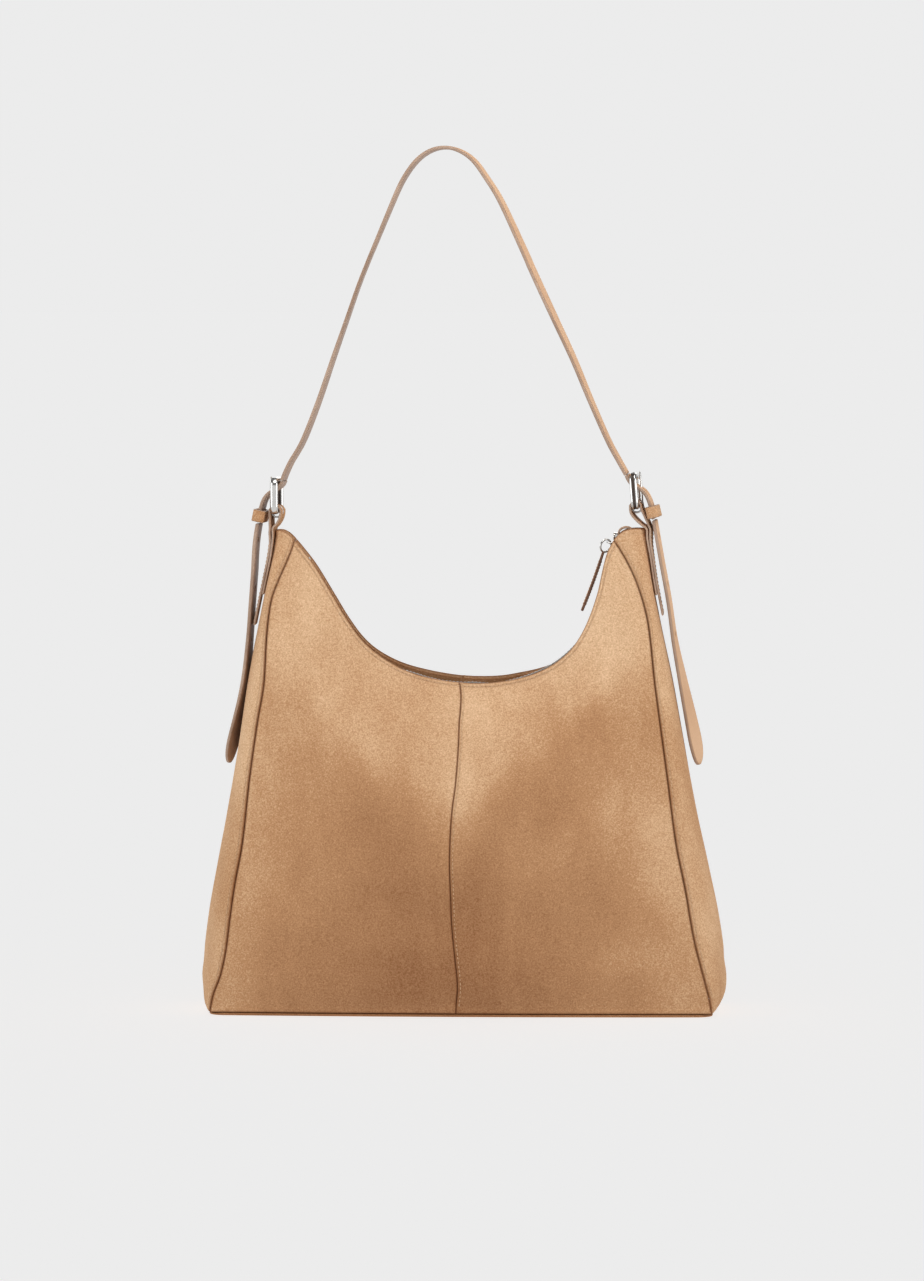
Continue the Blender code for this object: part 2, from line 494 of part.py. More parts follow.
for word, bar, tilt, hand in (("left", BAR_L, TILT_L, -1), ("right", BAR_R, TILT_R, 1)):
    base, across, up = local_frame(bar, tilt)
    out = np.cross(across, up)
    out = out / np.linalg.norm(out)
    out = out if out[0] * hand > 0 else -out
    across = across / np.linalg.norm(across)
    up = np.cross(out, across) * (1 if np.dot(np.cross(out, across), up) > 0 else -1)
    # frame: a rounded rectangle of oval bar
    ring_pts, r = [], 4.6
    for cy, cz, a0 in ((FRAME_HY - r, FRAME_H - r, 0), (-FRAME_HY + r, FRAME_H - r, 90), (-FRAME_HY + r, r, 180), (FRAME_HY - r, r, 270)):
        for k in range(5):
            a = math.radians(a0 + 90 * k / 4)
            ring_pts.append(base + across * (cy + r * math.cos(a)) + up * (cz + r * math.sin(a)))
    closed(f"{word}_buckle_frame", *tube(ring_pts, out, BAR_A, BAR_B, 8, True), METAL)
    # prong: an eye round the heel bar and a pin that rests on the far bar
    eye_o, eye_i, half, seg = 4.9, 3.4, 1.7, 14
    verts, faces = [], []
    for i in range(seg):
        a = 2 * math.pi * i / seg
        for rr, yy in ((eye_i, -half), (eye_o, -half), (eye_o, half), (eye_i, half)):
            verts.append(base + out * rr * math.cos(a) + up * rr * math.sin(a) + across * yy)
    for i in range(seg):
        j = (i + 1) % seg
        for k in range(4):
            faces.append((4 * i + k, 4 * i + (k + 1) % 4, 4 * j + (k + 1) % 4, 4 * j + k))
    prong = closed(f"{word}_prong", verts, faces, METAL)
    pin = [base + out * 4.2 + up * (-0.6), base + out * 4.3 + up * 8.0, base + out * 4.35 + up * 17.0, base + out * 4.35 + up * 26.6]
    join(prong, [closed(f"{word}_prong_helper", *tube(pin, across, PRONG_T / 2 * 0.86, PRONG_W / 2, 8), METAL)])

    # tab: one strip sewn to the gusset, up round the heel bar and back down
    def on_gusset(z, off):
        return (hand * (float(along(SIDE, z)) + off) + float(lean(z)), z)

    thick = HIDE - 0.4
    near, far = GAP + thick / 2 + 0.1, GAP * 2 + thick * 1.5 + 0.4
    hx = on_gusset(HORN_Z, 0.0)[0]
    cx, cz = bar
    outer = [on_gusset(z, far) for z in (288.0, 306.0, 322.0, 338.0, 350.0)] + [(hx + hand * 4.0, 358.0), (hx + hand * 3.7, 362.5)]
    loop = [(cx + hand * 4.3 * math.cos(q), cz + 4.3 * math.sin(q)) for q in np.radians([-14, 20, 55, 90, 125, 160, 195])]
    p0, p3 = np.array([cx - hand * 3.2, cz - 5.2]), np.array([hx + hand * 1.5, HORN_Z + 1.5])
    over = [tuple(p0), tuple(p0 + (p3 - p0) * 0.36 + (0, -0.8)), tuple(p0 + (p3 - p0) * 0.7 + (0, -0.4)), tuple(p3)]
    inner_side = over + [on_gusset(z, near) for z in (354.0, 340.0, 326.0, 312.0)]
    c = through(outer + loop + inner_side, 56)
    w_dirs = [(math.sin(a), math.cos(a), 0.0) for a in YAW * step(335, 366, c[:, 1])]
    tab = strip([(x, 0, z) for x, z in c], STRAP_W, w_dirs, thick, SUEDE, f"{word}_tab")
    slot_v = []
    for sy in (-2.5, 2.5):
        for so, su in ((-8.0, -5.6), (8.0, -5.6), (8.0, 8.0), (-8.0, 8.0)):
            slot_v.append(base + across * sy + out * so + up * su)
    slot_f = [(0, 1, 2, 3), (7, 6, 5, 4), (0, 4, 5, 1), (1, 5, 6, 2), (2, 6, 7, 3), (3, 7, 4, 0)]
    join(tab, [closed(f"{word}_tab_helper", slot_v, slot_f, SUEDE)], "DIFFERENCE")

    # keeper: a flat band closed round the tail
    kx, kz, kl = KEEP_L if hand < 0 else KEEP_R
    ox, oy, h, wall = KEEPER
    ca, sa = math.cos(math.radians(kl)), math.sin(math.radians(kl))
    verts, rings = [], []
    def band(rx, ry, rr, nn=3):
        pts3 = []
        for qx, qy, a0 in ((rx - rr, ry - rr, 0), (-rx + rr, ry - rr, 90), (-rx + rr, -ry + rr, 180), (rx - rr, -ry + rr, 270)):
            for k in range(nn + 1):
                a = math.radians(a0 + 90 * k / nn)
                pts3.append((qx + rr * math.cos(a), qy + rr * math.sin(a)))
        return pts3
    big, small = band(ox / 2, oy / 2, 2.4), band(ox / 2 - wall, oy / 2 - wall, 0.9)
    m = len(big)
    for pts3, hh in ((big, -h / 2), (big, h / 2), (small, h / 2), (small, -h / 2)):
        for lx, ly in pts3:
            gx, gz = lx * ca + hh * sa, -lx * sa + hh * ca
            verts.append((kx + gx * math.cos(YAW) + ly * math.sin(YAW), -gx * math.sin(YAW) + ly * math.cos(YAW), kz + gz))
    faces = []
    for k in range(4):
        k1 = (k + 1) % 4
        for i in range(m):
            j = (i + 1) % m
            faces.append((k * m + i, k * m + j, k1 * m + j, k1 * m + i))
    closed(f"{word}_keeper", verts, faces, SUEDE)
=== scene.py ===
"""Looks of the suede hobo bag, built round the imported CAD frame.

Numbers are millimetres in the bag's own frame (+Z up, the front faces -Y) and become metres when a mesh is made.
"""

import json
import math

import bmesh
import bpy
import numpy as np
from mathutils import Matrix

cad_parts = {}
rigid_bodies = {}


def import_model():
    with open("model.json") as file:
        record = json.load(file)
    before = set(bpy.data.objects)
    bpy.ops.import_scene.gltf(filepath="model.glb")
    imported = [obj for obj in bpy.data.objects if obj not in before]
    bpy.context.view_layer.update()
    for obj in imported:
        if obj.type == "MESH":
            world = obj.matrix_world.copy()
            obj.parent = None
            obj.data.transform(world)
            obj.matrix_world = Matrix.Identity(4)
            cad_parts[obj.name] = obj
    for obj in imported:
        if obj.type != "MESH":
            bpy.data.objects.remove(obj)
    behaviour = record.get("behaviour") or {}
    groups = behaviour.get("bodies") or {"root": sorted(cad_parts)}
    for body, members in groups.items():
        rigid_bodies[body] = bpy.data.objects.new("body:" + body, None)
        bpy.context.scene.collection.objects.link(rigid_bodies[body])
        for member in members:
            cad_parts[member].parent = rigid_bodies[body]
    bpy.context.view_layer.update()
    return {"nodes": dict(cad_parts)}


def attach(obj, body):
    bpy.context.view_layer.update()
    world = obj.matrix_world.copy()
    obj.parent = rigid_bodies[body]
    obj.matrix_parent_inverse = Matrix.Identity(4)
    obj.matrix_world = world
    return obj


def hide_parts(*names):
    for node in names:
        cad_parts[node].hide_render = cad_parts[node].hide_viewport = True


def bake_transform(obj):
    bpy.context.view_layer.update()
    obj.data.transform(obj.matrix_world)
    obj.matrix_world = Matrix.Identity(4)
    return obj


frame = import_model()
nodes = frame["nodes"]
MM = 0.001

# ---------------------------------------------------------------------------
# driving dimensions, repeated from the CAD
# ---------------------------------------------------------------------------
BASE_HALF_X, BASE_HALF_Y, BASE_BELLY = 189.0, 52.0, 5.0
SEAM_Z0, SEAM_Z1, HORN_Z, MOUTH_HALF_Y, BULGE = 2.5, 353.0, 360.0, 14.0, 8.0
HORN_TOP = {-1: (360.5, 2.3), 1: (362.0, 4.0)}   # height and how square the horn is, left and right
SIDE = [(2.5, 193.5), (7, 198.3), (15, 200.4), (24, 200.4), (40, 198.4), (76, 192.7), (113, 185.6),
        (150, 178.0), (200, 168.6), (250, 159.6), (290, 151.0), (325, 144.0), (345, 140.6), (360, 138.4)]
SEAM_L = [(2.5, -187.0), (14, -184.7), (30, -178.8), (50, -174.6), (70, -172.2), (94, -169.0), (128, -163.0), (176, -158.0),
          (218, -152.4), (248, -147.7), (277.6, -146.3), (292.6, -145.1), (307.6, -142.9), (322.6, -137.6), (337.6, -131.0),
          (349, -126.8), (353, -125.8)]
SEAM_R = [(2.5, 187.0), (14, 185.0), (30, 180.8), (58, 173.7), (94, 167.2), (128, 160.2), (176, 153.7), (218, 147.9), (250, 143.6),
          (277.6, 140.7), (292.6, 138.6), (307.6, 134.9), (322.6, 129.8), (337.6, 122.6), (348, 116.3), (353, 112.8)]
TUCK_L = [(2.5, 4.0), (7, 4.6), (11, 5.2), (15, 5.5), (21, 4.8), (28.5, 4.1), (36, 3.9), (51, 2.9), (73, 2.2), (103, 1.6), (133, 0.6), (160, 0.0), (360, 0.0)]
TUCK_R = [(2.5, 4.4), (7, 4.4), (11, 3.8), (15, 3.1), (21, 2.4), (28.5, 2.3), (36, 2.4), (51, 1.3), (73, 1.1), (103, 1.4), (133, 1.4), (170, 0.8), (210, 0.0), (360, 0.0)]
CENTRE = [(0, -3.0), (0.05, -3.1), (0.17, -4.6), (0.29, -6.4), (0.41, -6.1), (0.53, -5.2), (0.66, -4.5), (0.78, -3.9), (1.0, -3.7)]
DEPTH = [(2.5, 52.0), (30, 53.0), (60, 51.0), (100, 46.0), (150, 40.0), (200, 33.0), (250, 26.0), (300, 19.0), (349, 13.0)]
RIM = [(-125.8, 353.0), (-119.0, 344.8), (-109.4, 331.8), (-95.5, 308.7), (-86.0, 293.0), (-74.5, 277.6), (-60.5, 265.8),
       (-42.0, 255.6), (-20.0, 249.4), (8.0, 246.2), (32.0, 248.0), (52.0, 252.9), (68.5, 260.8), (80.5, 271.0),
       (89.0, 283.4), (95.4, 297.5), (100.6, 313.0), (102.9, 323.0), (105.9, 336.5), (108.8, 345.4), (112.8, 353.0)]
ZIP_CX, ZIP_CZ, ZIP_R, ZIP_END, TAPE_END = 2.5, 358.0, 113.0, 88.5, 82.0
RING_R, RING_WIRE, BAR_IN, BAR_ON = 4.9, 0.7, 7.6, -3.9
PULL_DIR = np.array([-0.34, 0.0, -0.9404])
PULL_L, PULL_W0, PULL_W1 = 47.0, 6.0, 10.0
STRAP_W, STRAP_T = 22.0, 2.5
YAW = math.radians(5.0)
BAR_L, BAR_R = (-139.7, 373.9), (130.1, 377.8)
TILT_L, TILT_R = 0.0, math.radians(-4.5)
FRAME_HY, FRAME_H = 13.8, 24.2
ARCH = [(-134.3, 398.6), (-129.0, 410.5), (-119.3, 427.5), (-107.6, 457.4), (-97.4, 487.4), (-86.9, 517.3), (-76.4, 547.2),
        (-64.0, 577.0), (-51.3, 606.9), (-44.6, 621.2), (-34.2, 635.4), (-23.6, 642.4), (-13.5, 644.4), (-3.4, 642.4),
        (7.9, 635.4), (17.9, 621.7), (27.6, 606.8), (41.8, 577.0), (55.3, 547.2), (69.1, 517.4), (83.0, 487.5), (95.4, 457.6),
        (108.6, 427.7), (116.6, 412.8), (122.4, 402.5)]
END_L = [(-140.0, 390.4), (-143.1, 388.8), (-146.3, 386.1), (-148.7, 382.2), (-150.4, 377.0), (-151.7, 371.0), (-152.7, 365.9)]
END_R = [(129.8, 393.4), (133.0, 391.7), (136.4, 388.7), (139.0, 384.5), (140.9, 379.3), (142.2, 374.0), (143.3, 369.0)]
TAIL_L = [(-152.9, 365.0), (-157.8, 337.4), (-160.5, 307.3), (-162.7, 277.2), (-165.7, 247.1), (-170.8, 217.0), (-175.4, 194.3), (-177.2, 184.8)]
TAIL_R = [(143.5, 368.1), (148.8, 338.0), (154.3, 308.0), (158.6, 278.0), (164.6, 248.0), (171.0, 218.0), (175.5, 195.4), (176.8, 184.4)]
TWIST_L, TWIST_R = math.radians(19), math.radians(24)
HOLES = [12.0, 49.0, 87.0]
KEEP_L, KEEP_R = (-151.9, 370.9, 12.0), (142.6, 374.2, -13.0)


# ---------------------------------------------------------------------------
# materials: every one is procedural
# ---------------------------------------------------------------------------
def lin(r, g, b):
    """sRGB 0-255 to linear."""
    out = []
    for c in (r, g, b):
        c /= 255.0
        out.append(c / 12.92 if c <= 0.04045 else ((c + 0.055) / 1.055) ** 2.4)
    return tuple(out)


class Nodes:
    """A small helper that writes a node tree."""

    def __init__(self, name):
        self.m = bpy.data.materials.new(name)
        self.m.use_nodes = True
        self.t = self.m.node_tree
        self.bsdf = self.t.nodes["Principled BSDF"]
        self.coord = self.t.nodes.new("ShaderNodeTexCoord").outputs["Object"]

    def link(self, a, b):
        self.t.links.new(a, b)

    def noise(self, scale, detail=2.0, rough=0.5, stretch=(1, 1, 1), shift=(0, 0, 0), distort=0.0):
        mp = self.t.nodes.new("ShaderNodeMapping")
        mp.inputs["Scale"].default_value = stretch
        mp.inputs["Location"].default_value = shift
        self.link(self.coord, mp.inputs["Vector"])
        n = self.t.nodes.new("ShaderNodeTexNoise")
        n.inputs["Scale"].default_value = scale
        n.inputs["Detail"].default_value = detail
        n.inputs["Roughness"].default_value = rough
        n.inputs["Distortion"].default_value = distort
        self.link(mp.outputs["Vector"], n.inputs["Vector"])
        return n.outputs["Fac"]

    def ramp(self, fac, stops):
        r = self.t.nodes.new("ShaderNodeValToRGB")
        e = r.color_ramp.elements
        while len(e) < len(stops):
            e.new(0.5)
        for k, (pos, col) in enumerate(stops):
            e[k].position = pos
            e[k].color = (*col, 1.0) if len(col) == 3 else col
        self.link(fac, r.inputs["Fac"])
        return r.outputs["Color"]

    def math(self, op, a, b=None, c=None, clamp=False):
        n = self.t.nodes.new("ShaderNodeMath")
        n.operation = op
        n.use_clamp = clamp
        for k, v in enumerate((a, b, c)):
            if v is None:
                continue
            if isinstance(v, (int, float)):
                n.inputs[k].default_value = v
            else:
                self.link(v, n.inputs[k])
        return n.outputs[0]

    def range(self, v, a, b, c, d):
        n = self.t.nodes.new("ShaderNodeMapRange")
        for k, x in zip(("From Min", "From Max", "To Min", "To Max"), (a, b, c, d)):
            n.inputs[k].default_value = x
        self.link(v, n.inputs["Value"])
        return n.outputs["Result"]

    def mix(self, fac, a, b, blend="MIX"):
        n = self.t.nodes.new("ShaderNodeMix")
        n.data_type = "RGBA"
        n.blend_type = blend
        n.clamp_factor = True
        for k, v in ((0, fac), (6, a), (7, b)):
            if isinstance(v, (int, float)):
                n.inputs[k].default_value = v
            elif isinstance(v, tuple):
                n.inputs[k].default_value = (*v, 1.0)
            else:
                self.link(v, n.inputs[k])
        return n.outputs[2]

    def attr(self, name):
        n = self.t.nodes.new("ShaderNodeAttribute")
        n.attribute_name = name
        return n.outputs["Fac"]

    def bump(self, height, strength, distance, normal=None):
        n = self.t.nodes.new("ShaderNodeBump")
        n.inputs["Strength"].default_value = strength
        n.inputs["Distance"].default_value = distance
        self.link(height, n.inputs["Height"])
        if normal is not None:
            self.link(normal, n.inputs["Normal"])
        return n.outputs["Normal"]

    def done(self, color=None, rough=None, normal=None, **sockets):
        if color is not None:
            if isinstance(color, tuple):
                self.bsdf.inputs["Base Color"].default_value = (*color, 1.0)
            else:
                self.link(color, self.bsdf.inputs["Base Color"])
        if rough is not None:
            if isinstance(rough, (int, float)):
                self.bsdf.inputs["Roughness"].default_value = rough
            else:
                self.link(rough, self.bsdf.inputs["Roughness"])
        if normal is not None:
            self.link(normal, self.bsdf.inputs["Normal"])
        for k, v in sockets.items():
            self.bsdf.inputs[k.replace("_", " ")].default_value = v
        return self.m


def suede(name, light, mid, dark, nap=1.0, sheen=0.13, speckle=0.95):
    """Brushed nap: soft patches brushed one way or the other, a fine grain, and short fibres. The 'nap' attribute adds
    the nap direction together with painted light and shade; the 'edge' attribute mixes in a dark brown at turned edges
    and as painted shade beside the seams.
    """
    n = Nodes(name)
    patch = n.noise(7.0, 3.0, 0.55, (1, 1, 0.8), (3.1, 0.4, 7.7), 0.35)
    streak = n.noise(26.0, 3.0, 0.6, (1.0, 1.0, 0.35), (1.7, 5.2, 0.3), 0.6)
    grain = n.noise(880.0, 2.5, 0.7)
    fibre = n.noise(2100.0, 2.0, 0.6, (1, 1, 0.45))
    # the 'nap' attribute: nap direction plus painted light and shade from the panels' nap functions
    nap_and_painted_light = n.attr("nap")
    a = n.math("MULTIPLY_ADD", n.math("SUBTRACT", patch, 0.5), 0.75 * nap, 0.5)
    a = n.math("ADD", a, n.math("MULTIPLY", n.math("SUBTRACT", streak, 0.5), 0.34 * nap))
    a = n.math("ADD", a, n.math("MULTIPLY", nap_and_painted_light, 0.5))
    a = n.math("ADD", a, n.math("MULTIPLY", n.math("SUBTRACT", grain, 0.5), speckle))
    a = n.math("ADD", a, n.math("MULTIPLY", n.math("SUBTRACT", fibre, 0.5), 0.30), clamp=True)
    col = n.ramp(a, [(0.0, dark), (0.5, mid), (1.0, light)])
    # edge colour: dark brown at turned edges, and painted shade in the band beside each seam
    edge_darkening = n.attr("edge")
    col = n.mix(n.math("MULTIPLY", edge_darkening, 0.68), col, lin(116, 64, 29))
    hgt = n.math("ADD", n.math("MULTIPLY", grain, 0.7), n.math("MULTIPLY", fibre, 0.45))
    nor = n.bump(hgt, 0.55, 0.0006)
    nor = n.bump(streak, 0.25, 0.0012, nor)
    rough = n.range(patch, 0.3, 0.7, 0.88, 1.0)
    return n.done(col, rough, nor, Sheen_Weight=sheen, Sheen_Roughness=0.45, Sheen_Tint=(*lin(236, 196, 158), 1.0), Specular_IOR_Level=0.12)


SUEDE = suede("suede_body", lin(240, 206, 168), lin(188, 142, 102), lin(137, 91, 59))
SUEDE_STRAP = suede("suede_strap", lin(232, 196, 162), lin(210, 170, 136), lin(168, 126, 96), 0.5, 0.12, 0.32)


def smooth_leather(name, col, dark, rough=0.5, scale=420.0, bump=0.35, edge_darkening=0.6):
    n = Nodes(name)
    cells = n.t.nodes.new("ShaderNodeTexVoronoi")
    cells.inputs["Scale"].default_value = scale
    n.link(n.coord, cells.inputs["Vector"])
    pebble = cells.outputs["Distance"]
    big = n.noise(30.0, 3.0, 0.6)
    fine = n.noise(900.0, 2.0, 0.6)
    c = n.mix(n.range(big, 0.35, 0.65, 0.0, 1.0), dark, col)
    c = n.mix(n.math("MULTIPLY", fine, 0.35), c, tuple(x * 0.6 for x in dark))
    c = n.mix(n.math("MULTIPLY", n.attr("edge"), edge_darkening), c, tuple(x * 0.5 for x in dark))
    nor = n.bump(n.math("ADD", pebble, n.math("MULTIPLY", fine, 0.3)), bump, 0.0004)
    return n.done(c, n.range(big, 0.3, 0.7, rough - 0.07, rough + 0.12), nor, Specular_IOR_Level=0.4)


INNER = smooth_leather("strap_inner_leather", lin(186, 156, 134), lin(154, 124, 104), 0.5, 420.0, 0.35, 0.3)
EDGE = smooth_leather("edge_paint", lin(190, 163, 143), lin(160, 132, 112), 0.42, 900.0, 0.12, 0.0)
PULL_EDGE = smooth_leather("pull_leather", lin(134, 94, 70), lin(100, 68, 50), 0.6, 420.0, 0.3, 0.2)


def woven(name, light, dark, pitch, rough=0.85, twill=False):
    """Cloth: warp and weft as two bands that pass over each other."""
    n = Nodes(name)
    sep = n.t.nodes.new("ShaderNodeSeparateXYZ")
    n.link(n.coord, sep.inputs[0])
    k = 2 * math.pi / (pitch * MM)
    across = n.math("ADD", sep.outputs["X"], n.math("MULTIPLY", sep.outputs["Y"], 1.0))
    up = n.math("ADD", sep.outputs["Z"], n.math("MULTIPLY", sep.outputs["X"], 0.8 if twill else 0.0))
    wa = n.math("SINE", n.math("MULTIPLY", across, k))
    wb = n.math("SINE", n.math("MULTIPLY", up, k))
    weave = n.math("MULTIPLY_ADD", n.math("MULTIPLY", wa, wb), 0.5, 0.5)
    fuzz = n.noise(1500.0, 2.0, 0.6)
    soil = n.noise(18.0, 3.0, 0.6)
    a = n.math("ADD", n.math("MULTIPLY", weave, 0.6), n.math("MULTIPLY", fuzz, 0.3))
    a = n.math("ADD", a, n.math("MULTIPLY", n.math("SUBTRACT", soil, 0.5), 0.4), clamp=True)
    col = n.ramp(a, [(0.1, dark), (0.9, light)])
    nor = n.bump(n.math("ADD", weave, n.math("MULTIPLY", fuzz, 0.3)), 0.5, 0.0004)
    return n.done(col, rough, nor, Sheen_Weight=0.08, Specular_IOR_Level=0.2)


LINING = woven("lining_twill", lin(150, 122, 96), lin(112, 88, 68), 0.9, twill=True)
TAPE = woven("zip_tape_weave", lin(150, 122, 98), lin(104, 82, 64), 0.8)
THREAD = woven("stitch_thread", lin(236, 202, 164), lin(190, 150, 112), 0.5, 0.7)


def metal(name, col, rough, wear=0.06, brushed=False):
    n = Nodes(name)
    smear = n.noise(60.0, 3.0, 0.6)
    hair = n.noise(1200.0, 2.0, 0.6, (1, 1, 0.08) if brushed else (1, 0.25, 1))
    r = n.math("ADD", n.range(smear, 0.3, 0.7, rough, rough + wear), n.math("MULTIPLY", hair, 0.05))
    c = n.mix(n.range(smear, 0.3, 0.75, 0.0, 1.0), col, tuple(x * 0.86 for x in col))
    nor = n.bump(hair, 0.06, 0.0002)
    return n.done(c, r, nor, Metallic=1.0)


NICKEL = metal("polished_nickel", (0.74, 0.73, 0.71), 0.13)
GROOVE = metal("nickel_in_shadow", (0.09, 0.07, 0.06), 0.45)
TEETH = metal("zip_metal", (0.55, 0.53, 0.50), 0.28, 0.15)


def fibre_board():
    n = Nodes("fibre_board")
    f = n.noise(260.0, 4.0, 0.7, (1, 0.4, 1))
    col = n.ramp(f, [(0.3, lin(92, 82, 72)), (0.7, lin(132, 118, 102))])
    return n.done(col, 0.85, n.bump(f, 0.4, 0.0005))


BOARD = fibre_board()


# ---------------------------------------------------------------------------
# helpers
# ---------------------------------------------------------------------------
def step(a, b, x):
    t = np.clip((np.asarray(x, float) - a) / (b - a), 0, 1)
    return t * t * (3 - 2 * t)


def along(table, z):
    x = np.array([p[0] for p in table], float)
    y = np.array([p[1] for p in table], float)
    h, d = np.diff(x), np.diff(y) / np.diff(x)
    m = np.zeros(len(x))
    m[0], m[-1] = d[0], d[-1]
    for i in range(1, len(x) - 1):
        if d[i - 1] * d[i] > 0:
            w1, w2 = 2 * h[i] + h[i - 1], h[i] + 2 * h[i - 1]
            m[i] = (w1 + w2) / (w1 / d[i - 1] + w2 / d[i])
    z = np.clip(np.asarray(z, float), x[0], x[-1])
    i = np.clip(np.searchsorted(x, z) - 1, 0, len(x) - 2)
    t = (z - x[i]) / h[i]
    return ((2 * t**3 - 3 * t**2 + 1) * y[i] + (t**3 - 2 * t**2 + t) * h[i] * m[i]
            + (-2 * t**3 + 3 * t**2) * y[i + 1] + (t**3 - t**2) * h[i] * m[i + 1])


def through(points, n):
    p = np.array(points, float)
    ext = np.vstack([2 * p[0] - p[1], p, 2 * p[-1] - p[-2]])
    out = []
    for i in range(1, len(ext) - 2):
        a, b, c, d = ext[i - 1 : i + 3]
        for t in np.linspace(0, 1, 24, endpoint=False):
            out.append(0.5 * (2 * b + (c - a) * t + (2 * a - 5 * b + 4 * c - d) * t**2 + (3 * b - a - 3 * c + d) * t**3))
    out = np.array(out + [p[-1]])
    s = np.concatenate([[0], np.cumsum(np.linalg.norm(np.diff(out, axis=0), axis=1))])
    at = np.linspace(0, s[-1], n)
    return np.stack([np.interp(at, s, out[:, k]) for k in range(p.shape[1])], axis=1)


def lean(z):
    return -2.4 * step(130, 290, z) + 0.9 * step(310, 352, z)


def unit(v):
    v = np.asarray(v, float)
    return v / np.maximum(np.linalg.norm(v, axis=-1, keepdims=True), 1e-12)


def volume(verts, faces):
    v = np.asarray(verts, float)
    total = 0.0
    for f in faces:
        for i in range(1, len(f) - 1):
            total += np.dot(v[f[0]], np.cross(v[f[i]], v[f[i + 1]]))
    return total / 6.0


def make(name, verts, faces, materials, smooth=True, index=None, attrs=None, sharp=40, turn=True):
    v = np.asarray(verts, float)
    if turn and volume(v, faces) < 0:
        faces = [tuple(reversed(f)) for f in faces]
    mesh = bpy.data.meshes.new(name)
    mesh.from_pydata((v * MM).tolist(), [], [tuple(int(i) for i in f) for f in faces])
    for m in materials if isinstance(materials, (list, tuple)) else [materials]:
        mesh.materials.append(m)
    if index is not None:
        mesh.polygons.foreach_set("material_index", np.asarray(index, dtype=np.int32))
    if smooth:
        mesh.shade_smooth()
        if sharp:
            mesh.set_sharp_from_angle(angle=math.radians(sharp))
    for key, val in (attrs or {}).items():
        a = mesh.attributes.new(key, "FLOAT", "POINT")
        a.data.foreach_set("value", np.asarray(val, dtype=np.float32).ravel())
    mesh.update()
    ob = bpy.data.objects.new(name, mesh)
    bpy.context.scene.collection.objects.link(ob)
    return ob


def bend_with(ob):
    """Bakes the object's transform into its mesh; no blend weights are applied."""
    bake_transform(ob)
    return ob


def rng(seed):
    return np.random.default_rng(seed)


# ---------------------------------------------------------------------------
# the shell's surfaces: the CAD's, with the soft leather's own shape on top
# ---------------------------------------------------------------------------
_rim = through(RIM, 721)


def rim_at(t):
    f = np.clip(t, 0, 1) * 720
    return np.interp(f, np.arange(721), _rim[:, 0]), np.interp(f, np.arange(721), _rim[:, 1])


def seam_line(z):
    """The centre seam wanders a little."""
    return -4.3 * np.exp(-(((np.asarray(z) - 143.0) / 70.0) ** 2))


def sag(x, z, side):
    """How far the soft wall stands out of its plain loft, in mm."""
    if side < 0:
        ridge = 150.0 + 0.62 * np.abs(x + 5)
        d = z - ridge
        out = 3.6 * np.where(d > 0, np.exp(-((d / 62.0) ** 2)), np.exp(-((d / 46.0) ** 2))) * np.exp(-((x / 150.0) ** 4))
        out += 1.6 * np.exp(-(((x + 92) / 48) ** 2) - ((z - 110) / 60) ** 2)
        out += 1.9 * np.exp(-(((x - 96) / 52) ** 2) - ((z - 128) / 66) ** 2)
        out -= 2.4 * np.exp(-(((x - 2) / 60) ** 2) - ((z - 62) / 34) ** 2)
        out -= 1.5 * np.exp(-(((x + 118) / 16) ** 2) - ((z - 250) / 60) ** 2)
        out -= 1.4 * np.exp(-(((x - 112) / 15) ** 2) - ((z - 246) / 62) ** 2)
    else:
        ridge = 138.0 + 0.30 * np.abs(x - 8)
        d = z - ridge
        out = 3.0 * np.exp(-((d / 58.0) ** 2)) * np.exp(-((x / 150.0) ** 4))
        out += 1.7 * np.exp(-(((x - 80) / 50) ** 2) - ((z - 104) / 60) ** 2)
        out += 1.5 * np.exp(-(((x + 88) / 52) ** 2) - ((z - 132) / 60) ** 2)
        out -= 2.0 * np.exp(-(((x + 4) / 60) ** 2) - ((z - 58) / 32) ** 2)
        out -= 1.3 * np.exp(-(((x - 116) / 16) ** 2) - ((z - 248) / 60) ** 2)
        out -= 1.3 * np.exp(-(((x + 114) / 16) ** 2) - ((z - 244) / 60) ** 2)
    # long shallow waves of a hide that has been handled
    for k, (fx, fz, ph, a) in enumerate([(0.021, 0.013, 0.3, 0.55), (-0.034, 0.019, 1.9, 0.40), (0.052, -0.027, 4.1, 0.22), (0.011, 0.058, 2.6, 0.22)]):
        out += a * np.sin(fx * x * 2 + fz * z * 2 + ph + (0.9 if side > 0 else 0.0) * k)
    return out


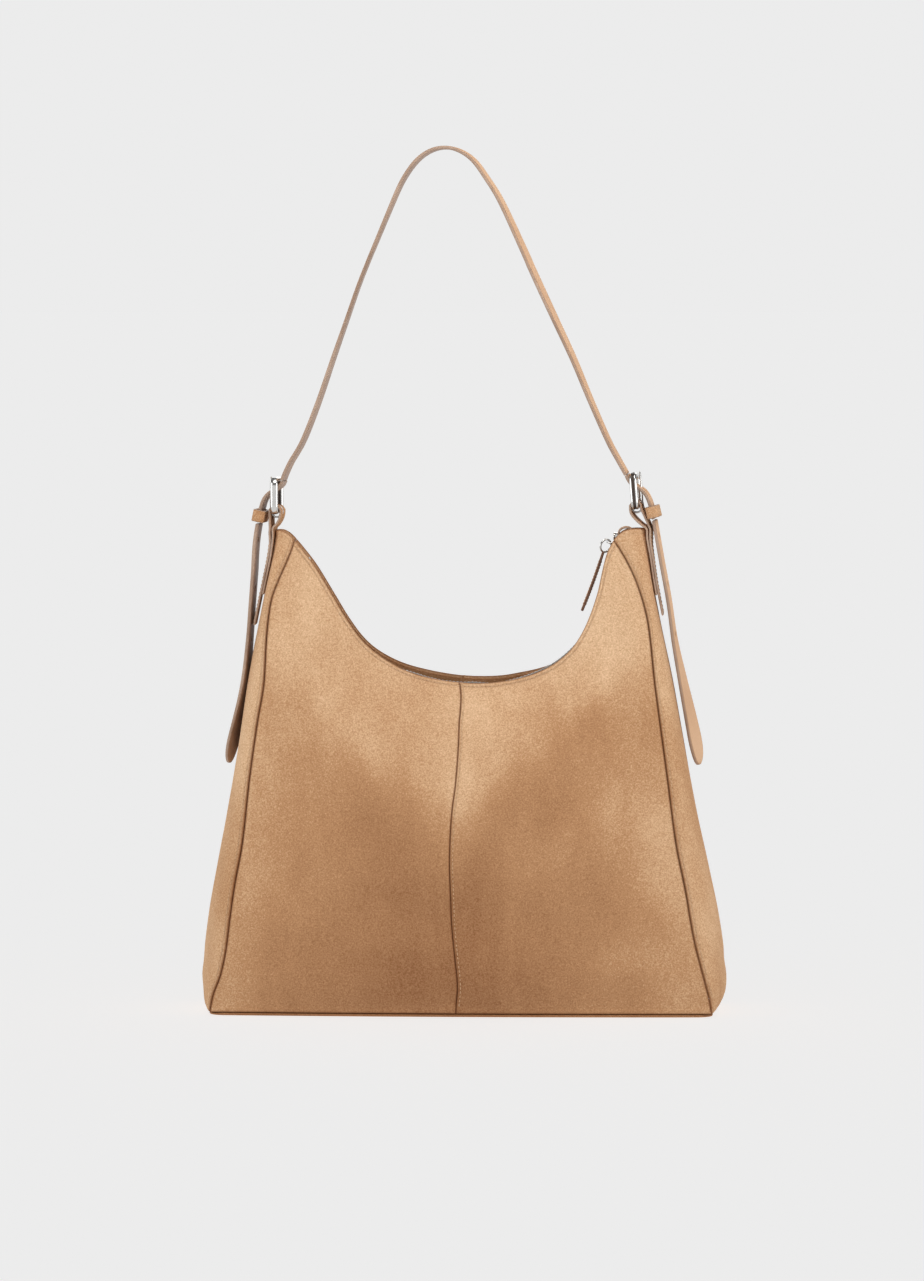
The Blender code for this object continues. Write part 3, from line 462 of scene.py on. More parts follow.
def panel_at(u, v, side):
    u, v = np.broadcast_arrays(np.asarray(u, float), np.asarray(v, float))
    t = (u + 1) / 2 + along(CENTRE, v) / 360.0 * (1.0 if side < 0 else 0.5) * (1 - u**2) ** 2
    z_side = SEAM_Z0 + (SEAM_Z1 - SEAM_Z0) * v
    sy = along(DEPTH, z_side)
    left = np.stack([along(SEAM_L, z_side), sy, z_side], -1)
    right = np.stack([along(SEAM_R, z_side), sy, z_side], -1)
    wide = along(SEAM_R, SEAM_Z0)
    bottom = np.stack([wide * (2 * t - 1), BASE_HALF_Y + BASE_BELLY * (1 - u**2), np.full(u.shape, SEAM_Z0)], -1)
    tx, tz = rim_at(t)
    if side > 0:
        tz = tz + (3.9 - 0.9 * step(0.05, 0.2, u) - 3.0 * step(-0.14, -0.45, u) - 5.2 * step(0.22, 0.52, u)) * (1 - np.abs(u) ** 3)
    top = np.stack([tx, 13.0 + (MOUTH_HALF_Y - 13.0) * (1 - u**2), tz], -1)
    c00 = np.array([-wide, BASE_HALF_Y, SEAM_Z0])
    c10 = np.array([wide, BASE_HALF_Y, SEAM_Z0])
    c01 = np.array([RIM[0][0], 13.0, RIM[0][1]])
    c11 = np.array([RIM[-1][0], 13.0, RIM[-1][1]])
    T, V = t[..., None], v[..., None]
    p = (1 - V) * bottom + V * top + (1 - T) * left + T * right
    p = p - ((1 - T) * (1 - V) * c00 + T * (1 - V) * c10 + (1 - T) * V * c01 + T * V * c11)
    p[..., 0] += seam_line(p[..., 2]) * (1 - u**2) ** 2 * 4 * v * (1 - v) * (1 if side < 0 else 0.4)
    p[..., 1] += BULGE * 4 * v * (1 - v) * (1 - u**2)
    calm = step(0, 0.10, v) * step(0, 0.16, 1 - v) * step(0, 0.10, 1 - np.abs(u))
    p[..., 1] += sag(p[..., 0], p[..., 2], side) * calm
    # the seam pulls the two halves in, and the allowance pressed under the stitched side stands up
    cx = u * wide
    p[..., 1] += (-1.5 * np.exp(-((cx / 10.0) ** 2)) + 0.55 * step(0.4, 2.0, cx) * (1 - step(7.5, 10.0, cx))) * step(0, 0.04, v)
    p[..., 1] *= side
    return p


def gusset_at(a, s, hand):
    a, s = np.broadcast_arrays(np.asarray(a, float), np.asarray(s, float))
    zs = SEAM_Z0 + (SEAM_Z1 - SEAM_Z0) * s
    top, square = HORN_TOP[hand]
    zw = SEAM_Z0 + (top - SEAM_Z0) * s
    n = 2.0 + 1.0 * step(240, 345, zs)
    ca = np.clip(np.cos(np.radians(a)), 0, 1) ** (2 / n)
    sa = np.sign(a) * np.abs(np.sin(np.radians(a))) ** (2 / n)
    sx, wx = along(SEAM_L if hand < 0 else SEAM_R, zs), hand * (along(SIDE, zw) - along(TUCK_L if hand < 0 else TUCK_R, zw)) + lean(zw)
    x = sx + (wx - sx) * ca
    y = along(DEPTH, zs) * sa
    z = zs + (zw - zs) * (1 - (1 - ca) ** square)
    # a soft tuck down the middle of the side, as the filled bag pulls its corners out
    tuck = 1.6 * np.exp(-(((z - 175) / 70) ** 2)) * np.exp(-((y / 15) ** 2)) - 0.8 * np.exp(-(((z - 90) / 40) ** 2)) * np.exp(-(((np.abs(y) - 26) / 14) ** 2))
    x = x - hand * tuck
    return np.stack([x, y, z], -1)


def normals(f, u, v, outward):
    e = 2e-4
    n = np.cross(f(u + e, v) - f(u - e, v), f(u, v + e) - f(u, v - e))
    return unit(n) * outward


def edge_stations(lo, hi, width, count, fine=(0.0, 0.12, 0.35, 0.7, 1.15, 1.75, 2.3, 2.8, 3.2, 3.6, 4.0, 4.5, 5.0, 5.5, 6.0, 6.8, 8.0)):
    """Stations from lo to hi that are close together at both ends; width is the real distance in mm."""
    k = (hi - lo) / width
    head = [lo + d * k for d in fine]
    tail = [hi - d * k for d in fine[::-1]]
    return np.array(head + list(np.linspace(head[-1], tail[0], count)[1:-1]) + tail)


def groove(d, depth=1.9, reach=1.5):
    """How deep a turned edge lies, d mm in from the seam."""
    t = np.clip(1 - np.asarray(d) / reach, 0, 1)
    return depth * (1 - np.sqrt(np.clip(1 - t**2, 0, 1)))


def sheet(name, f, us, vs, out, materials, thick=1.8, sink=0.0, roll=(1.9, 1.9, 1.9, 1.9), reach=1.5, nap=None, weights=None, back_material=0, sewn=(0, 0, 0, 0), painted_seam_shade=(0, 0)):
    """A closed sheet over f(u, v). roll: how deep the edges u0, u1, v0, v1 turn down. Returns the object and its
    weights per vertex (None when no weights are given).
    """
    U, V = np.meshgrid(us, vs, indexing="ij")
    p, n = f(U, V), normals(f, U, V, out)
    du = np.linalg.norm(np.diff(p, axis=0), axis=-1)
    dv = np.linalg.norm(np.diff(p, axis=1), axis=-1)
    zu = np.concatenate([np.zeros((1, p.shape[1])), np.cumsum(du, axis=0)], axis=0)
    zv = np.concatenate([np.zeros((p.shape[0], 1)), np.cumsum(dv, axis=1)], axis=1)
    tu, tv = np.gradient(p, axis=0), np.gradient(p, axis=1)
    square = np.linalg.norm(np.cross(unit(tu), unit(tv)), axis=-1)
    dist = [zu * square, (zu[-1:] - zu) * square, zv * square, (zv[:, -1:] - zv) * square]
    deep = np.zeros(p.shape[:2])
    near = np.full(p.shape[:2], 99.0)
    for d, r in zip(dist, roll):
        if r > 0:
            deep = np.maximum(deep, groove(d, r, reach))
            near = np.minimum(near, d)
    line = np.zeros(p.shape[:2])
    for d, at in zip(dist, sewn):
        if at > 0:
            line = np.maximum(line, np.exp(-(((d - at) / 0.5) ** 2)) * (near > 1.2))
    deep = deep + 0.28 * line
    puff = 0.32 * np.exp(-(((near - 2.1) / 1.3) ** 2)) if sink == 0 else 0.0
    side_seam = np.minimum(dist[0], dist[1]) if sink == 0 else np.full(p.shape[:2], 99.0)
    pucker = 0.20 * np.sin(p[..., 2] * 0.44 + 2.2 * np.sin(p[..., 2] / 31.0)) * np.exp(-((side_seam / 6.0) ** 2)) * step(0.6, 2.4, side_seam)
    outer = p - n * (sink + deep - puff - pucker)[..., None]
    inner = p - n * (sink + np.maximum(thick, deep + 0.25))[..., None]
    nu, nv = len(us), len(vs)
    verts = np.concatenate([outer.reshape(-1, 3), inner.reshape(-1, 3)])
    k, faces, index = nu * nv, [], []
    for i in range(nu - 1):
        for j in range(nv - 1):
            a, b, c, d = i * nv + j, (i + 1) * nv + j, (i + 1) * nv + j + 1, i * nv + j + 1
            faces += [(a, b, c, d), (k + d, k + c, k + b, k + a)]
            index += [0, back_material]
    ring = [i * nv for i in range(nu)] + [(nu - 1) * nv + j for j in range(1, nv)]
    ring += [i * nv + nv - 1 for i in range(nu - 2, -1, -1)] + [j for j in range(nv - 2, 0, -1)]
    for a, b in zip(ring, ring[1:] + ring[:1]):
        faces.append((b, a, k + a, k + b))
        index.append(0)
    edge = np.exp(-((near / 0.8) ** 2))
    # painted shade: a dark band beside the seam, where the leather curves down into it; weaker near the top and on the
    # right
    for d, b in zip(dist, painted_seam_shade):
        if b > 0:
            edge = np.maximum(edge, (1.25 - 0.45 * step(270, 335, p[..., 2])) * (1 - 0.12 * (p[..., 0] > 0)) * np.exp(-((d / b) ** 3)))
    edge = np.maximum(edge, 0.42 * line)
    attrs = {"edge": np.concatenate([edge.ravel(), edge.ravel()])}
    # nap values: the nap direction with painted light and shade
    nv_ = nap(outer[..., 0], outer[..., 2]) if nap is not None else np.zeros(p.shape[:2])
    attrs["nap"] = np.concatenate([nv_.ravel(), nv_.ravel()])
    ob = make(name, verts, faces, materials, True, index, attrs, sharp=0)
    w = None
    if weights is not None:
        w = np.concatenate([weights(U, V).ravel()] * 2)
    return ob, w


def front_nap_and_painted_light(x, z):
    """How the nap lies on the front, with painted light and shade: + lighter, - darker. The V above the fold is painted
    light, the patches under it and the lower centre are painted shade, and the top is painted lighter than the bottom.
    """
    g = lambda cx, cz, sx, sz: np.exp(-(((x - cx) / sx) ** 2) - ((z - cz) / sz) ** 2)
    # painted light over the dip of the mouth, down to a point on the centre seam, above the fold where the wall turns
    # up to the top lamp; painted shade below the fold
    ragged = 4.0 * np.sin(x / 11.0 + 0.6) + 2.5 * np.sin(x / 4.7 + z / 23.0)
    vee = np.tanh((z + ragged - 147 - np.where(x > -5, 0.82, 0.60) * np.abs(x + 5)) / np.where(x > -5, 15.0, 20.0))
    n = 0.26 * vee * np.exp(-((x / 150.0) ** 6)) + 0.18 * g(-9, 158, 16, 26)
    # painted shade: dark patches just under the fold, and one in the hollow near the left seam
    n -= 0.20 * g(58, 158, 40, 34) + 0.10 * g(-72, 146, 40, 34) + 0.10 * g(-118, 225, 16, 40)
    # painted shade: the lower centre, where the wall dips in, and a band along the bottom
    n -= 0.30 * g(-15, 96, 74, 44) + 0.12 * g(0, 30, 120, 30)
    # painted light: the lower corners, where the wall turns toward the side lamps
    n += np.where(x > 0, 0.13, 0.14) * (x / 150.0) ** 2 * step(270, 130, z)
    # painted light: lighter patches at the lower right corner and low by the left seam
    n += 0.18 * g(128, 44, 34, 14) + 0.20 * g(-172, 90, 22, 70)
    # painted light and shade by height: top lighter, bottom darker
    return n + 0.11 * step(150, 320, z) - 0.20 * step(160, 30, z) + 0.05


def back_nap_and_painted_light(x, z):
    g = lambda cx, cz, sx, sz: np.exp(-(((x - cx) / sx) ** 2) - ((z - cz) / sz) ** 2)
    n = 0.40 * g(20, 200, 70, 50) - 0.30 * g(-60, 140, 50, 36) - 0.24 * g(70, 110, 60, 40) + 0.22 * g(-120, 70, 40, 50)
    # painted light and shade by height: top lighter, bottom darker; the patches above are nap
    return n + 0.30 * step(150, 300, z) - 0.25 * step(150, 20, z)


def side_nap_and_painted_light(x, z):
    # painted light: the upper gusset and the whole left gusset are lighter; the wave is nap
    return 0.14 * np.sin(z / 34.0 + 0.6) * np.exp(-(((z - 190) / 150) ** 2)) + 0.08 * step(90, 260, z) + np.where(x > 0, 0.10, 0.26)


def w_mouth(u, v):
    """A weight for how far a point of the front would follow the parting mouth: all of it at the rim, none at the seams
    and the base. Nothing applies it.
    """
    s = step(0.22, 1.0, v)
    p = 3.0 / (1 - np.clip(v, 0, 1) + 0.03)
    return s * (1 - np.abs(np.clip(u, -1, 1)) ** p)


def out_sign(f, u, v, want):
    probe = normals(f, np.array([u]), np.array([v]), 1.0)[0]
    return 1.0 if np.dot(probe, want) > 0 else -1.0


made = {}
vs_panel = edge_stations(0.0, 1.0, 300.0, 74)
for side, word in ((-1, "front"), (1, "back")):
    f = lambda u, v, side=side: panel_at(u, v, side)
    out = out_sign(f, 0.3, 0.5, (0, side, 0))
    for half, tag in ((-1, "left"), (1, "right")):
        lo, hi = (-1.0, -0.0002) if half < 0 else (0.0002, 1.0)
        us = edge_stations(lo, hi, 165.0, 46)
        # the nap functions add painted light and shade, and the last argument paints shade beside the centre seam
        ob, w = sheet(f"{word}_panel_{tag}_suede", f, us, vs_panel, out, SUEDE, 1.9, 0.0,
                      (1.2, 1.2, 1.0, 1.3), 1.15, front_nap_and_painted_light if side < 0 else back_nap_and_painted_light, w_mouth if side < 0 else None, 0,
                      (0, 0, 0, 2.9) if half < 0 else (2.3, 0, 0, 2.9), (1.0, 0) if half < 0 else (0, 1.0))
        if side < 0:
            bend_with(ob)
        else:
            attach(ob, "bag")
        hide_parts(f"{word}_panel_{tag}")
    # facing: a band of suede inside the rim
    fus = np.linspace(-0.992, 0.992, 121)
    fvs = np.concatenate([np.linspace(0.886, 0.985, 9), [0.988, 0.991, 0.9935]])
    ob, w = sheet(f"{word}_facing_suede", f, fus, fvs, out, SUEDE, 1.2, 2.35, (0, 0, 0.5, 0.9), 1.2, None, w_mouth if side < 0 else None)
    if side < 0:
        bend_with(ob)
    else:
        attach(ob, "bag")
    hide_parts(f"{word}_facing")
    # lining
    lus, lvs = np.linspace(-0.965, 0.965, 61), np.linspace(0.012, 0.884, 51)
    ob, w = sheet(f"{word}_lining_cloth", f, lus, lvs, out, LINING, 0.9, 2.5, (0, 0, 0, 0), 1.2, None, w_mouth if side < 0 else None)
    if side < 0:
        bend_with(ob)
    else:
        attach(ob, "bag")
    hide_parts(f"{word}_lining")

for hand, word in ((-1, "left"), (1, "right")):
    f = lambda a, s, hand=hand: gusset_at(a, s, hand)
    out = out_sign(f, 10.0, 0.5, (hand, 0, 0))
    gas = np.concatenate([[-89.97, -89.9, -89.7], edge_stations(-89.3, 89.3, 105.0, 40)[1:-1], [89.7, 89.9, 89.97]])
    gss = edge_stations(0.0, 1.0, 352.0, 84)
    # the nap function adds painted light, and the last argument paints shade beside both seams
    ob, _ = sheet(f"{word}_gusset_suede", f, gas, gss, out, SUEDE, 1.9, 0.0, (1.2, 1.2, 1.0, 1.2), 1.15, side_nap_and_painted_light, None, 0, (2.8, 2.8, 0, 0), (1.55, 1.55))
    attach(ob, "bag")
    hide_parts(f"{word}_gusset")
    ob, _ = sheet(f"{word}_gusset_lining_cloth", f, np.linspace(-66, 66, 25), np.linspace(0.03, 0.90, 45), out, LINING, 0.9, 2.5, (0, 0, 0, 0))
    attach(ob, "bag")
    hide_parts(f"{word}_gusset_lining")

f_back = lambda u, v: panel_at(u, v, 1)
out_back = out_sign(f_back, 0.3, 0.5, (0, 1, 0))
ob, _ = sheet("inner_pocket_cloth", f_back, np.linspace(-0.44, 0.44, 41), np.linspace(0.42, 0.78, 31), out_back, LINING, 0.8, 3.7, (0, 0, 0, 0))
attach(ob, "bag")
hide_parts("inner_pocket")


# ---------------------------------------------------------------------------
# stitching: every stitch is a short thread that dips into the leather at both ends
# ---------------------------------------------------------------------------
def thread(name, runs, pitch=3.3, length=2.5, dia=0.62, lift=0.12, material=None, weights=None, slant=0.0):
    """runs: list of (points, normals[, weight per point]). One mesh of many stitches. Returns the object and weights."""
    verts, faces, wts = [], [], []
    sides, rings = 6, 6
    for run in runs:
        p, n = np.asarray(run[0], float), unit(run[1])
        wp = np.asarray(run[2], float) if len(run) > 2 else np.zeros(len(p))
        s = np.concatenate([[0], np.cumsum(np.linalg.norm(np.diff(p, axis=0), axis=1))])
        count = max(int((s[-1] - length) / pitch) + 1, 1)
        first = (s[-1] - (count - 1) * pitch - length) / 2
        at = lambda q, arr: np.stack([np.interp(q, s, arr[:, k]) for k in range(3)], -1)
        for c in range(count):
            q = first + c * pitch + length * np.linspace(0, 1, rings)
            pos, nor = at(q, p), unit(at(q, n))
            mid_w = float(np.interp(q[rings // 2], s, wp))
            tan = unit(np.gradient(pos, axis=0))
            side = unit(np.cross(tan, nor))
            base = len(verts)
            arch = np.sin(np.linspace(0, math.pi, rings))
            for i in range(rings):
                r = dia / 2 * (0.55 + 0.45 * arch[i])
                centre = pos[i] + nor[i] * (lift + dia * 0.5 * (arch[i] - 0.75)) + side[i] * slant * (i / (rings - 1) - 0.5)
                for k in range(sides):
                    a = 2 * math.pi * k / sides
                    verts.append(centre + side[i] * r * math.cos(a) + nor[i] * r * 0.85 * math.sin(a))
                    wts.append(mid_w)
            for i in range(rings - 1):
                for k in range(sides):
                    k1 = (k + 1) % sides
                    faces.append((base + i * sides + k, base + i * sides + k1, base + (i + 1) * sides + k1, base + (i + 1) * sides + k))
            faces.append(tuple(base + k for k in range(sides))[::-1])
            faces.append(tuple(base + (rings - 1) * sides + k for k in range(sides)))
    ob = make(name, verts, faces, material or THREAD, True, sharp=0)
    return ob, np.array(wts)


def on_surface(f, out, us, vs, raise_by=0.0, weight=None):
    us, vs = np.broadcast_arrays(np.asarray(us, float), np.asarray(vs, float))
    n = normals(f, us, vs, out)
    run = (f(us, vs) + n * raise_by, n)
    return run + ((weight(us, vs),) if weight is not None else ())


def off_rim(f, us, d):
    """v at distance d mm from the edge v = 1."""
    e = 1e-3
    pu = (f(us + e, 0.98) - f(us - e, 0.98)) / (2 * e)
    pv = (f(us, 0.98 + e) - f(us, 0.98 - e)) / (2 * e)
    area = np.linalg.norm(np.cross(pu, pv), axis=-1)
    return 1 - d * np.linalg.norm(pu, axis=-1) / area


for side, word in ((-1, "front"), (1, "back")):
    f = lambda u, v, side=side: panel_at(u, v, side)
    out = out_sign(f, 0.3, 0.5, (0, side, 0))
    wfun = w_mouth if side < 0 else None
    runs = []
    uu = np.linspace(-0.985, 0.985, 400)
    runs.append(on_surface(f, out, uu, off_rim(f, uu, 2.9), 0.0, wfun))
    vv = np.linspace(0.02, 0.965, 260)
    width = np.abs(f(0.02, vv)[..., 0] - f(0.0, vv)[..., 0]) / 0.02
    for off in (2.3,):
        runs.append(on_surface(f, out, off / width, vv, 0.0, wfun))
    ob, w = thread(f"{word}_panel_stitches", runs, 3.2, 2.45, 0.6)
    if side < 0:
        bend_with(ob)
    else:
        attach(ob, "bag")

for hand, word in ((-1, "left"), (1, "right")):
    f = lambda a, s, hand=hand: gusset_at(a, s, hand)
    out = out_sign(f, 10.0, 0.5, (hand, 0, 0))
    runs = []
    ss = np.linspace(0.03, 0.965, 300)
    for sign in (-1, 1):
        # 2.8 mm from the seam, whatever the gusset's width there
        aa = []
        for s_ in ss:
            q = np.linspace(89.5, 40, 60)
            pts = f(sign * q, np.full(60, s_))
            d = np.concatenate([[0], np.cumsum(np.linalg.norm(np.diff(pts, axis=0), axis=1))])
            aa.append(sign * float(np.interp(2.8, d, q)))
        runs.append(on_surface(f, out, np.array(aa), ss))
    ob, _ = thread(f"{word}_gusset_stitches", runs, 3.2, 2.45, 0.6)
    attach(ob, "bag")

# pocket: its sides and bottom are sewn down, its mouth is hemmed
pu, pv = 0.425, (0.435, 0.765)
edge_u = np.concatenate([np.full(60, -pu), np.linspace(-pu, pu, 90), np.full(60, pu)])
edge_v = np.concatenate([np.linspace(pv[1], pv[0], 60), np.full(90, pv[0]), np.linspace(pv[0], pv[1], 60)])


def pocket_run(us, vs):
    n = normals(f_back, us, vs, out_back)
    return (f_back(us, vs) - n * 4.5, -n)


ob, _ = thread("inner_pocket_stitches", [pocket_run(edge_u, edge_v), pocket_run(np.linspace(-pu, pu, 90), np.full(90, pv[1]))], 2.6, 2.0, 0.45)
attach(ob, "bag")


# ---------------------------------------------------------------------------
# base
# ---------------------------------------------------------------------------
def base_outline(shrink, n=60, corner=9.0):
    hx, hy, b = BASE_HALF_X - 1.2 - shrink, BASE_HALF_Y - shrink, BASE_BELLY
    pts = [(x, -(hy + b * (1 - (x / hx) ** 2))) for x in np.linspace(-hx + corner, hx - corner, n)]
    pts += [(hx - corner + corner * math.cos(a), math.copysign(hy - corner, a) + corner * math.sin(a)) for a in np.radians(np.linspace(-84, -6, 8))]
    pts += [(hx, y) for y in np.linspace(-(hy - corner), hy - corner, 14)]
    pts += [(hx - corner + corner * math.cos(a), (hy - corner) + corner * math.sin(a)) for a in np.radians(np.linspace(6, 84, 8))]
    back = [(-x, -y) for x, y in pts]
    return np.array(pts + back)


def layered(name, rings, materials, attrs=None, sharp=0):
    """Stacks rings of (points, z) and closes both ends with one face each."""
    k, verts, faces = len(rings[0][0]), [], []
    for pts, z in rings:
        verts += [(x, y, z) for x, y in pts]
    for m in range(len(rings) - 1):
        for i in range(k):
            j = (i + 1) % k
            faces.append((m * k + i, m * k + j, (m + 1) * k + j, (m + 1) * k + i))
    faces += [tuple(range(k))[::-1], tuple(range((len(rings) - 1) * k, len(rings) * k))]
    return make(name, verts, faces, materials, True, None, attrs, sharp)


prof = [(14, 0.25), (2.6, 0.0), (1.3, 0.05), (0.5, 0.35), (0.1, 0.85), (0.0, 1.25), (0.25, 1.75), (0.9, 2.1), (2.2, 2.2), (14, 2.2)]
rings = [(base_outline(d), z) for d, z in prof]
k = len(rings[0][0])
edge = np.repeat([0.0, 0.1, 0.3, 0.5, 0.6, 0.5, 0.8, 1.0, 1.0, 0.5], k)
ob = layered("base_panel_suede", rings, SUEDE, {"edge": edge, "nap": np.full(k * len(prof), -0.2)})
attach(ob, "bag")
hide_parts("base_panel")


# ---------------------------------------------------------------------------
# leather strips
# ---------------------------------------------------------------------------
def ribbon(name, path, widths, dirs, thick, materials, holes=(), across=22, out_face=1, corner=0.8, skin=(0, 1, 2), extra_s=(), crown=0.0, nap=0.0, spacing=2.6):
    """A strip along path (n, 3): rounded edges, holes that go through it.

    holes: (s, w, half_s, half_w) in mm along and across. materials: face, inner face, edge by the skin indices."""
    p = np.asarray(path, float)
    s_all = np.concatenate([[0], np.cumsum(np.linalg.norm(np.diff(p, axis=0), axis=1))])
    length = s_all[-1]
    W = np.broadcast_to(np.asarray(widths, float), (len(p),))
    D = unit(np.asarray(dirs, float))
    st = set(np.round(np.linspace(0, length, max(int(length / spacing), 4) + 1), 4))
    for d in (0.12, 0.32, 0.62, 1.05):
        st |= {round(d, 4), round(length - d, 4)}
    for s0, _, hs, _ in holes:
        st = {x for x in st if not (s0 - hs * 1.6 < x < s0 + hs * 1.6)}
        st |= set(np.round(s0 + hs * np.linspace(-1.6, 1.6, 13), 4))
    st = np.array(sorted(st | set(extra_s)))
    half = W.max() / 2
    cols = [-half + d for d in (0, 0.12, 0.32, 0.62, 1.05)]
    cols += list(np.linspace(-half + 1.9, half - 1.9, across)) + [half - d for d in (1.05, 0.62, 0.32, 0.12, 0)]
    cols = np.array(cols)
    for _, w0, _, hw in holes:
        keep = (cols < w0 - hw * 1.6) | (cols > w0 + hw * 1.6)
        cols = np.sort(np.concatenate([cols[keep], w0 + hw * np.linspace(-1.6, 1.6, 13)]))
    frac = cols / half
    at = lambda arr: np.stack([np.interp(st, s_all, arr[:, k]) for k in range(arr.shape[1])], -1)
    P, DD, WW = at(p), unit(at(D)), np.interp(st, s_all, W)
    T = unit(np.gradient(P, st, axis=0))
    DD = unit(DD - T * np.sum(DD * T, -1, keepdims=True))
    O = unit(np.cross(T, DD)) * out_face
    ns, nc = len(st), len(cols)
    S2, C2 = np.meshgrid(st, cols, indexing="ij")
    Sx, Cx = S2.copy(), (WW[:, None] / 2) * frac[None, :]
    dropped = np.zeros((ns - 1, nc - 1), bool)
    for s0, w0, hs, hw in holes:
        cs = (S2[:-1, :-1] + S2[1:, 1:]) / 2
        cc = (C2[:-1, :-1] + C2[1:, 1:]) / 2
        inside = ((cs - s0) / hs) ** 2 + ((cc - w0) / hw) ** 2 < 1
        dropped |= inside
        touch = np.zeros((ns, nc), bool)
        for di in (0, 1):
            for dj in (0, 1):
                touch[di : ns - 1 + di, dj : nc - 1 + dj] |= inside
        full = np.zeros((ns, nc), int)
        for di in (0, 1):
            for dj in (0, 1):
                full[di : ns - 1 + di, dj : nc - 1 + dj] += inside
        rim = touch & (full < 4)
        for i, j in zip(*np.nonzero(rim)):
            a, b = (S2[i, j] - s0) / hs, (C2[i, j] - w0) / hw
            r = math.hypot(a, b)
            if r > 1e-9:
                Sx[i, j], Cx[i, j] = s0 + a / r * hs, w0 + b / r * hw
    pos = np.stack([np.interp(Sx, st, P[:, k]) for k in range(3)], -1)
    dd = np.stack([np.interp(Sx, st, DD[:, k]) for k in range(3)], -1)
    oo = np.stack([np.interp(Sx, st, O[:, k]) for k in range(3)], -1)
    mid = pos + dd * Cx[..., None]
    d_edge = np.minimum(np.minimum(WW[:, None] / 2 - np.abs(Cx), Sx - st[0]), st[-1] - Sx)
    for s0, w0, hs, hw in holes:
        r = (np.sqrt(((Sx - s0) / hs) ** 2 + ((Cx - w0) / hw) ** 2) - 1) * min(hs, hw)
        d_edge = np.minimum(d_edge, np.maximum(r, 0) * 1.3)
    c = min(corner, thick * 0.42)
    cut = groove(np.maximum(d_edge, 0), c, 1.05)
    hump = crown * (1 - (Cx / np.maximum(WW[:, None] / 2, 1e-6)) ** 2)
    top = mid + oo * (thick / 2 - cut + hump)[..., None]
    bot = mid - oo * (thick / 2 - cut)[..., None]
    k = ns * nc
    verts = np.concatenate([top.reshape(-1, 3), bot.reshape(-1, 3)])
    faces, index, count = [], [], {}
    for i in range(ns - 1):
        for j in range(nc - 1):
            if dropped[i, j]:
                continue
            a, b, cc_, d = i * nc + j, (i + 1) * nc + j, (i + 1) * nc + j + 1, i * nc + j + 1
            rimcell = max(d_edge[i, j], d_edge[i + 1, j], d_edge[i + 1, j + 1], d_edge[i, j + 1]) < 0.45
            faces += [(a, b, cc_, d), (k + d, k + cc_, k + b, k + a)]
            index += [skin[2] if rimcell else skin[0], skin[2] if rimcell else skin[1]]
            for e in ((a, b), (b, cc_), (cc_, d), (d, a)):
                if (e[1], e[0]) in count:
                    del count[(e[1], e[0])]
                else:
                    count[e] = True
    for a, b in count:
        faces.append((b, a, k + a, k + b))
        index.append(skin[2])
    used = sorted({i for fc in faces for i in fc})
    remap = {o: n for n, o in enumerate(used)}
    verts = verts[used]
    faces = [tuple(remap[i] for i in fc) for fc in faces]
    edge = np.exp(-((np.maximum(d_edge, 0) / 0.9) ** 2)).ravel()
    edge = np.concatenate([edge, edge])[used]
    wave = 0.10 * np.sin(Sx / 23.0) + 0.08 * np.sin(Sx / 9.0 + 1.3)
    napv = np.concatenate([(nap + wave).ravel()] * 2)[used]
    ob = make(name, verts, faces, materials, True, index, {"edge": edge, "nap": napv}, sharp=0)
    frame_of = dict(P=P, D=DD, O=O, s=st, w=WW, thick=thick)
    return ob, frame_of


def border_runs(fr, inset, s0, s1, faces=(1, -1), w=None):
    """Runs of stitches down both borders of a ribbon."""
    s = np.linspace(s0, s1, max(int((s1 - s0) / 1.5), 8))
    at = lambda a: np.stack([np.interp(s, fr["s"], a[:, k]) for k in range(3)], -1)
    P, D, O = at(fr["P"]), unit(at(fr["D"])), unit(at(fr["O"]))
    half = np.interp(s, fr["s"], fr["w"]) / 2
    runs = []
    for face in faces:
        for sign in (-1, 1):
            pts = P + D * (sign * (half - inset))[:, None] + O * face * fr["thick"] / 2
            runs.append((pts, O * face))
    return runs


YDIR = np.array([math.sin(YAW), math.cos(YAW), 0.0])
yaw_dir = lambda a: np.stack([np.sin(a), np.cos(a), np.zeros_like(a)], -1)
xz = lambda c: np.stack([c[:, 0], np.zeros(len(c)), c[:, 1]], -1)

whole = END_L[::-1] + [(-136.7, 392.8), (-134.7, 395.7)] + ARCH + [(124.6, 398.3), (126.8, 395.3)] + END_R
line = through(whole, 2401)
length = np.concatenate([[0], np.cumsum(np.linalg.norm(np.diff(line, axis=0), axis=1))])
cut_l = float(np.interp(397.3, line[:400, 1], length[:400]))
cut_r = float(length[-1] - np.interp(400.2, line[-400:, 1][::-1], (length[-1] - length[-400:])[::-1]))


# the leather takes no sharp turn between its two buckles
q = np.linspace(0, length[-1], 2401)
even = np.stack([np.interp(q, length, line[:, k]) for k in (0, 1)], 1)
kern = np.exp(-0.5 * (np.arange(-150, 151) * (length[-1] / 2400) / 5.0) ** 2)
kern /= kern.sum()
soft = np.stack([np.convolve(np.pad(even[:, k], 150, mode="reflect", reflect_type="odd"), kern, "valid") for k in (0, 1)], 1)
mixed = (step(52, 110, q) * (1 - step(length[-1] - 110, length[-1] - 52, q)))[:, None]
line = even + (soft - even) * mixed
line[:, 1] += 1.9 * np.exp(-(((line[:, 0] + 10) / 42.0) ** 2)) * (line[:, 1] > 560)
length = np.concatenate([[0], np.cumsum(np.linalg.norm(np.diff(line, axis=0), axis=1))])


def stretch(s0, s1, n):
    at = np.linspace(s0, s1, n)
    return np.stack([np.interp(at, length, line[:, k]) for k in (0, 1)], axis=1)


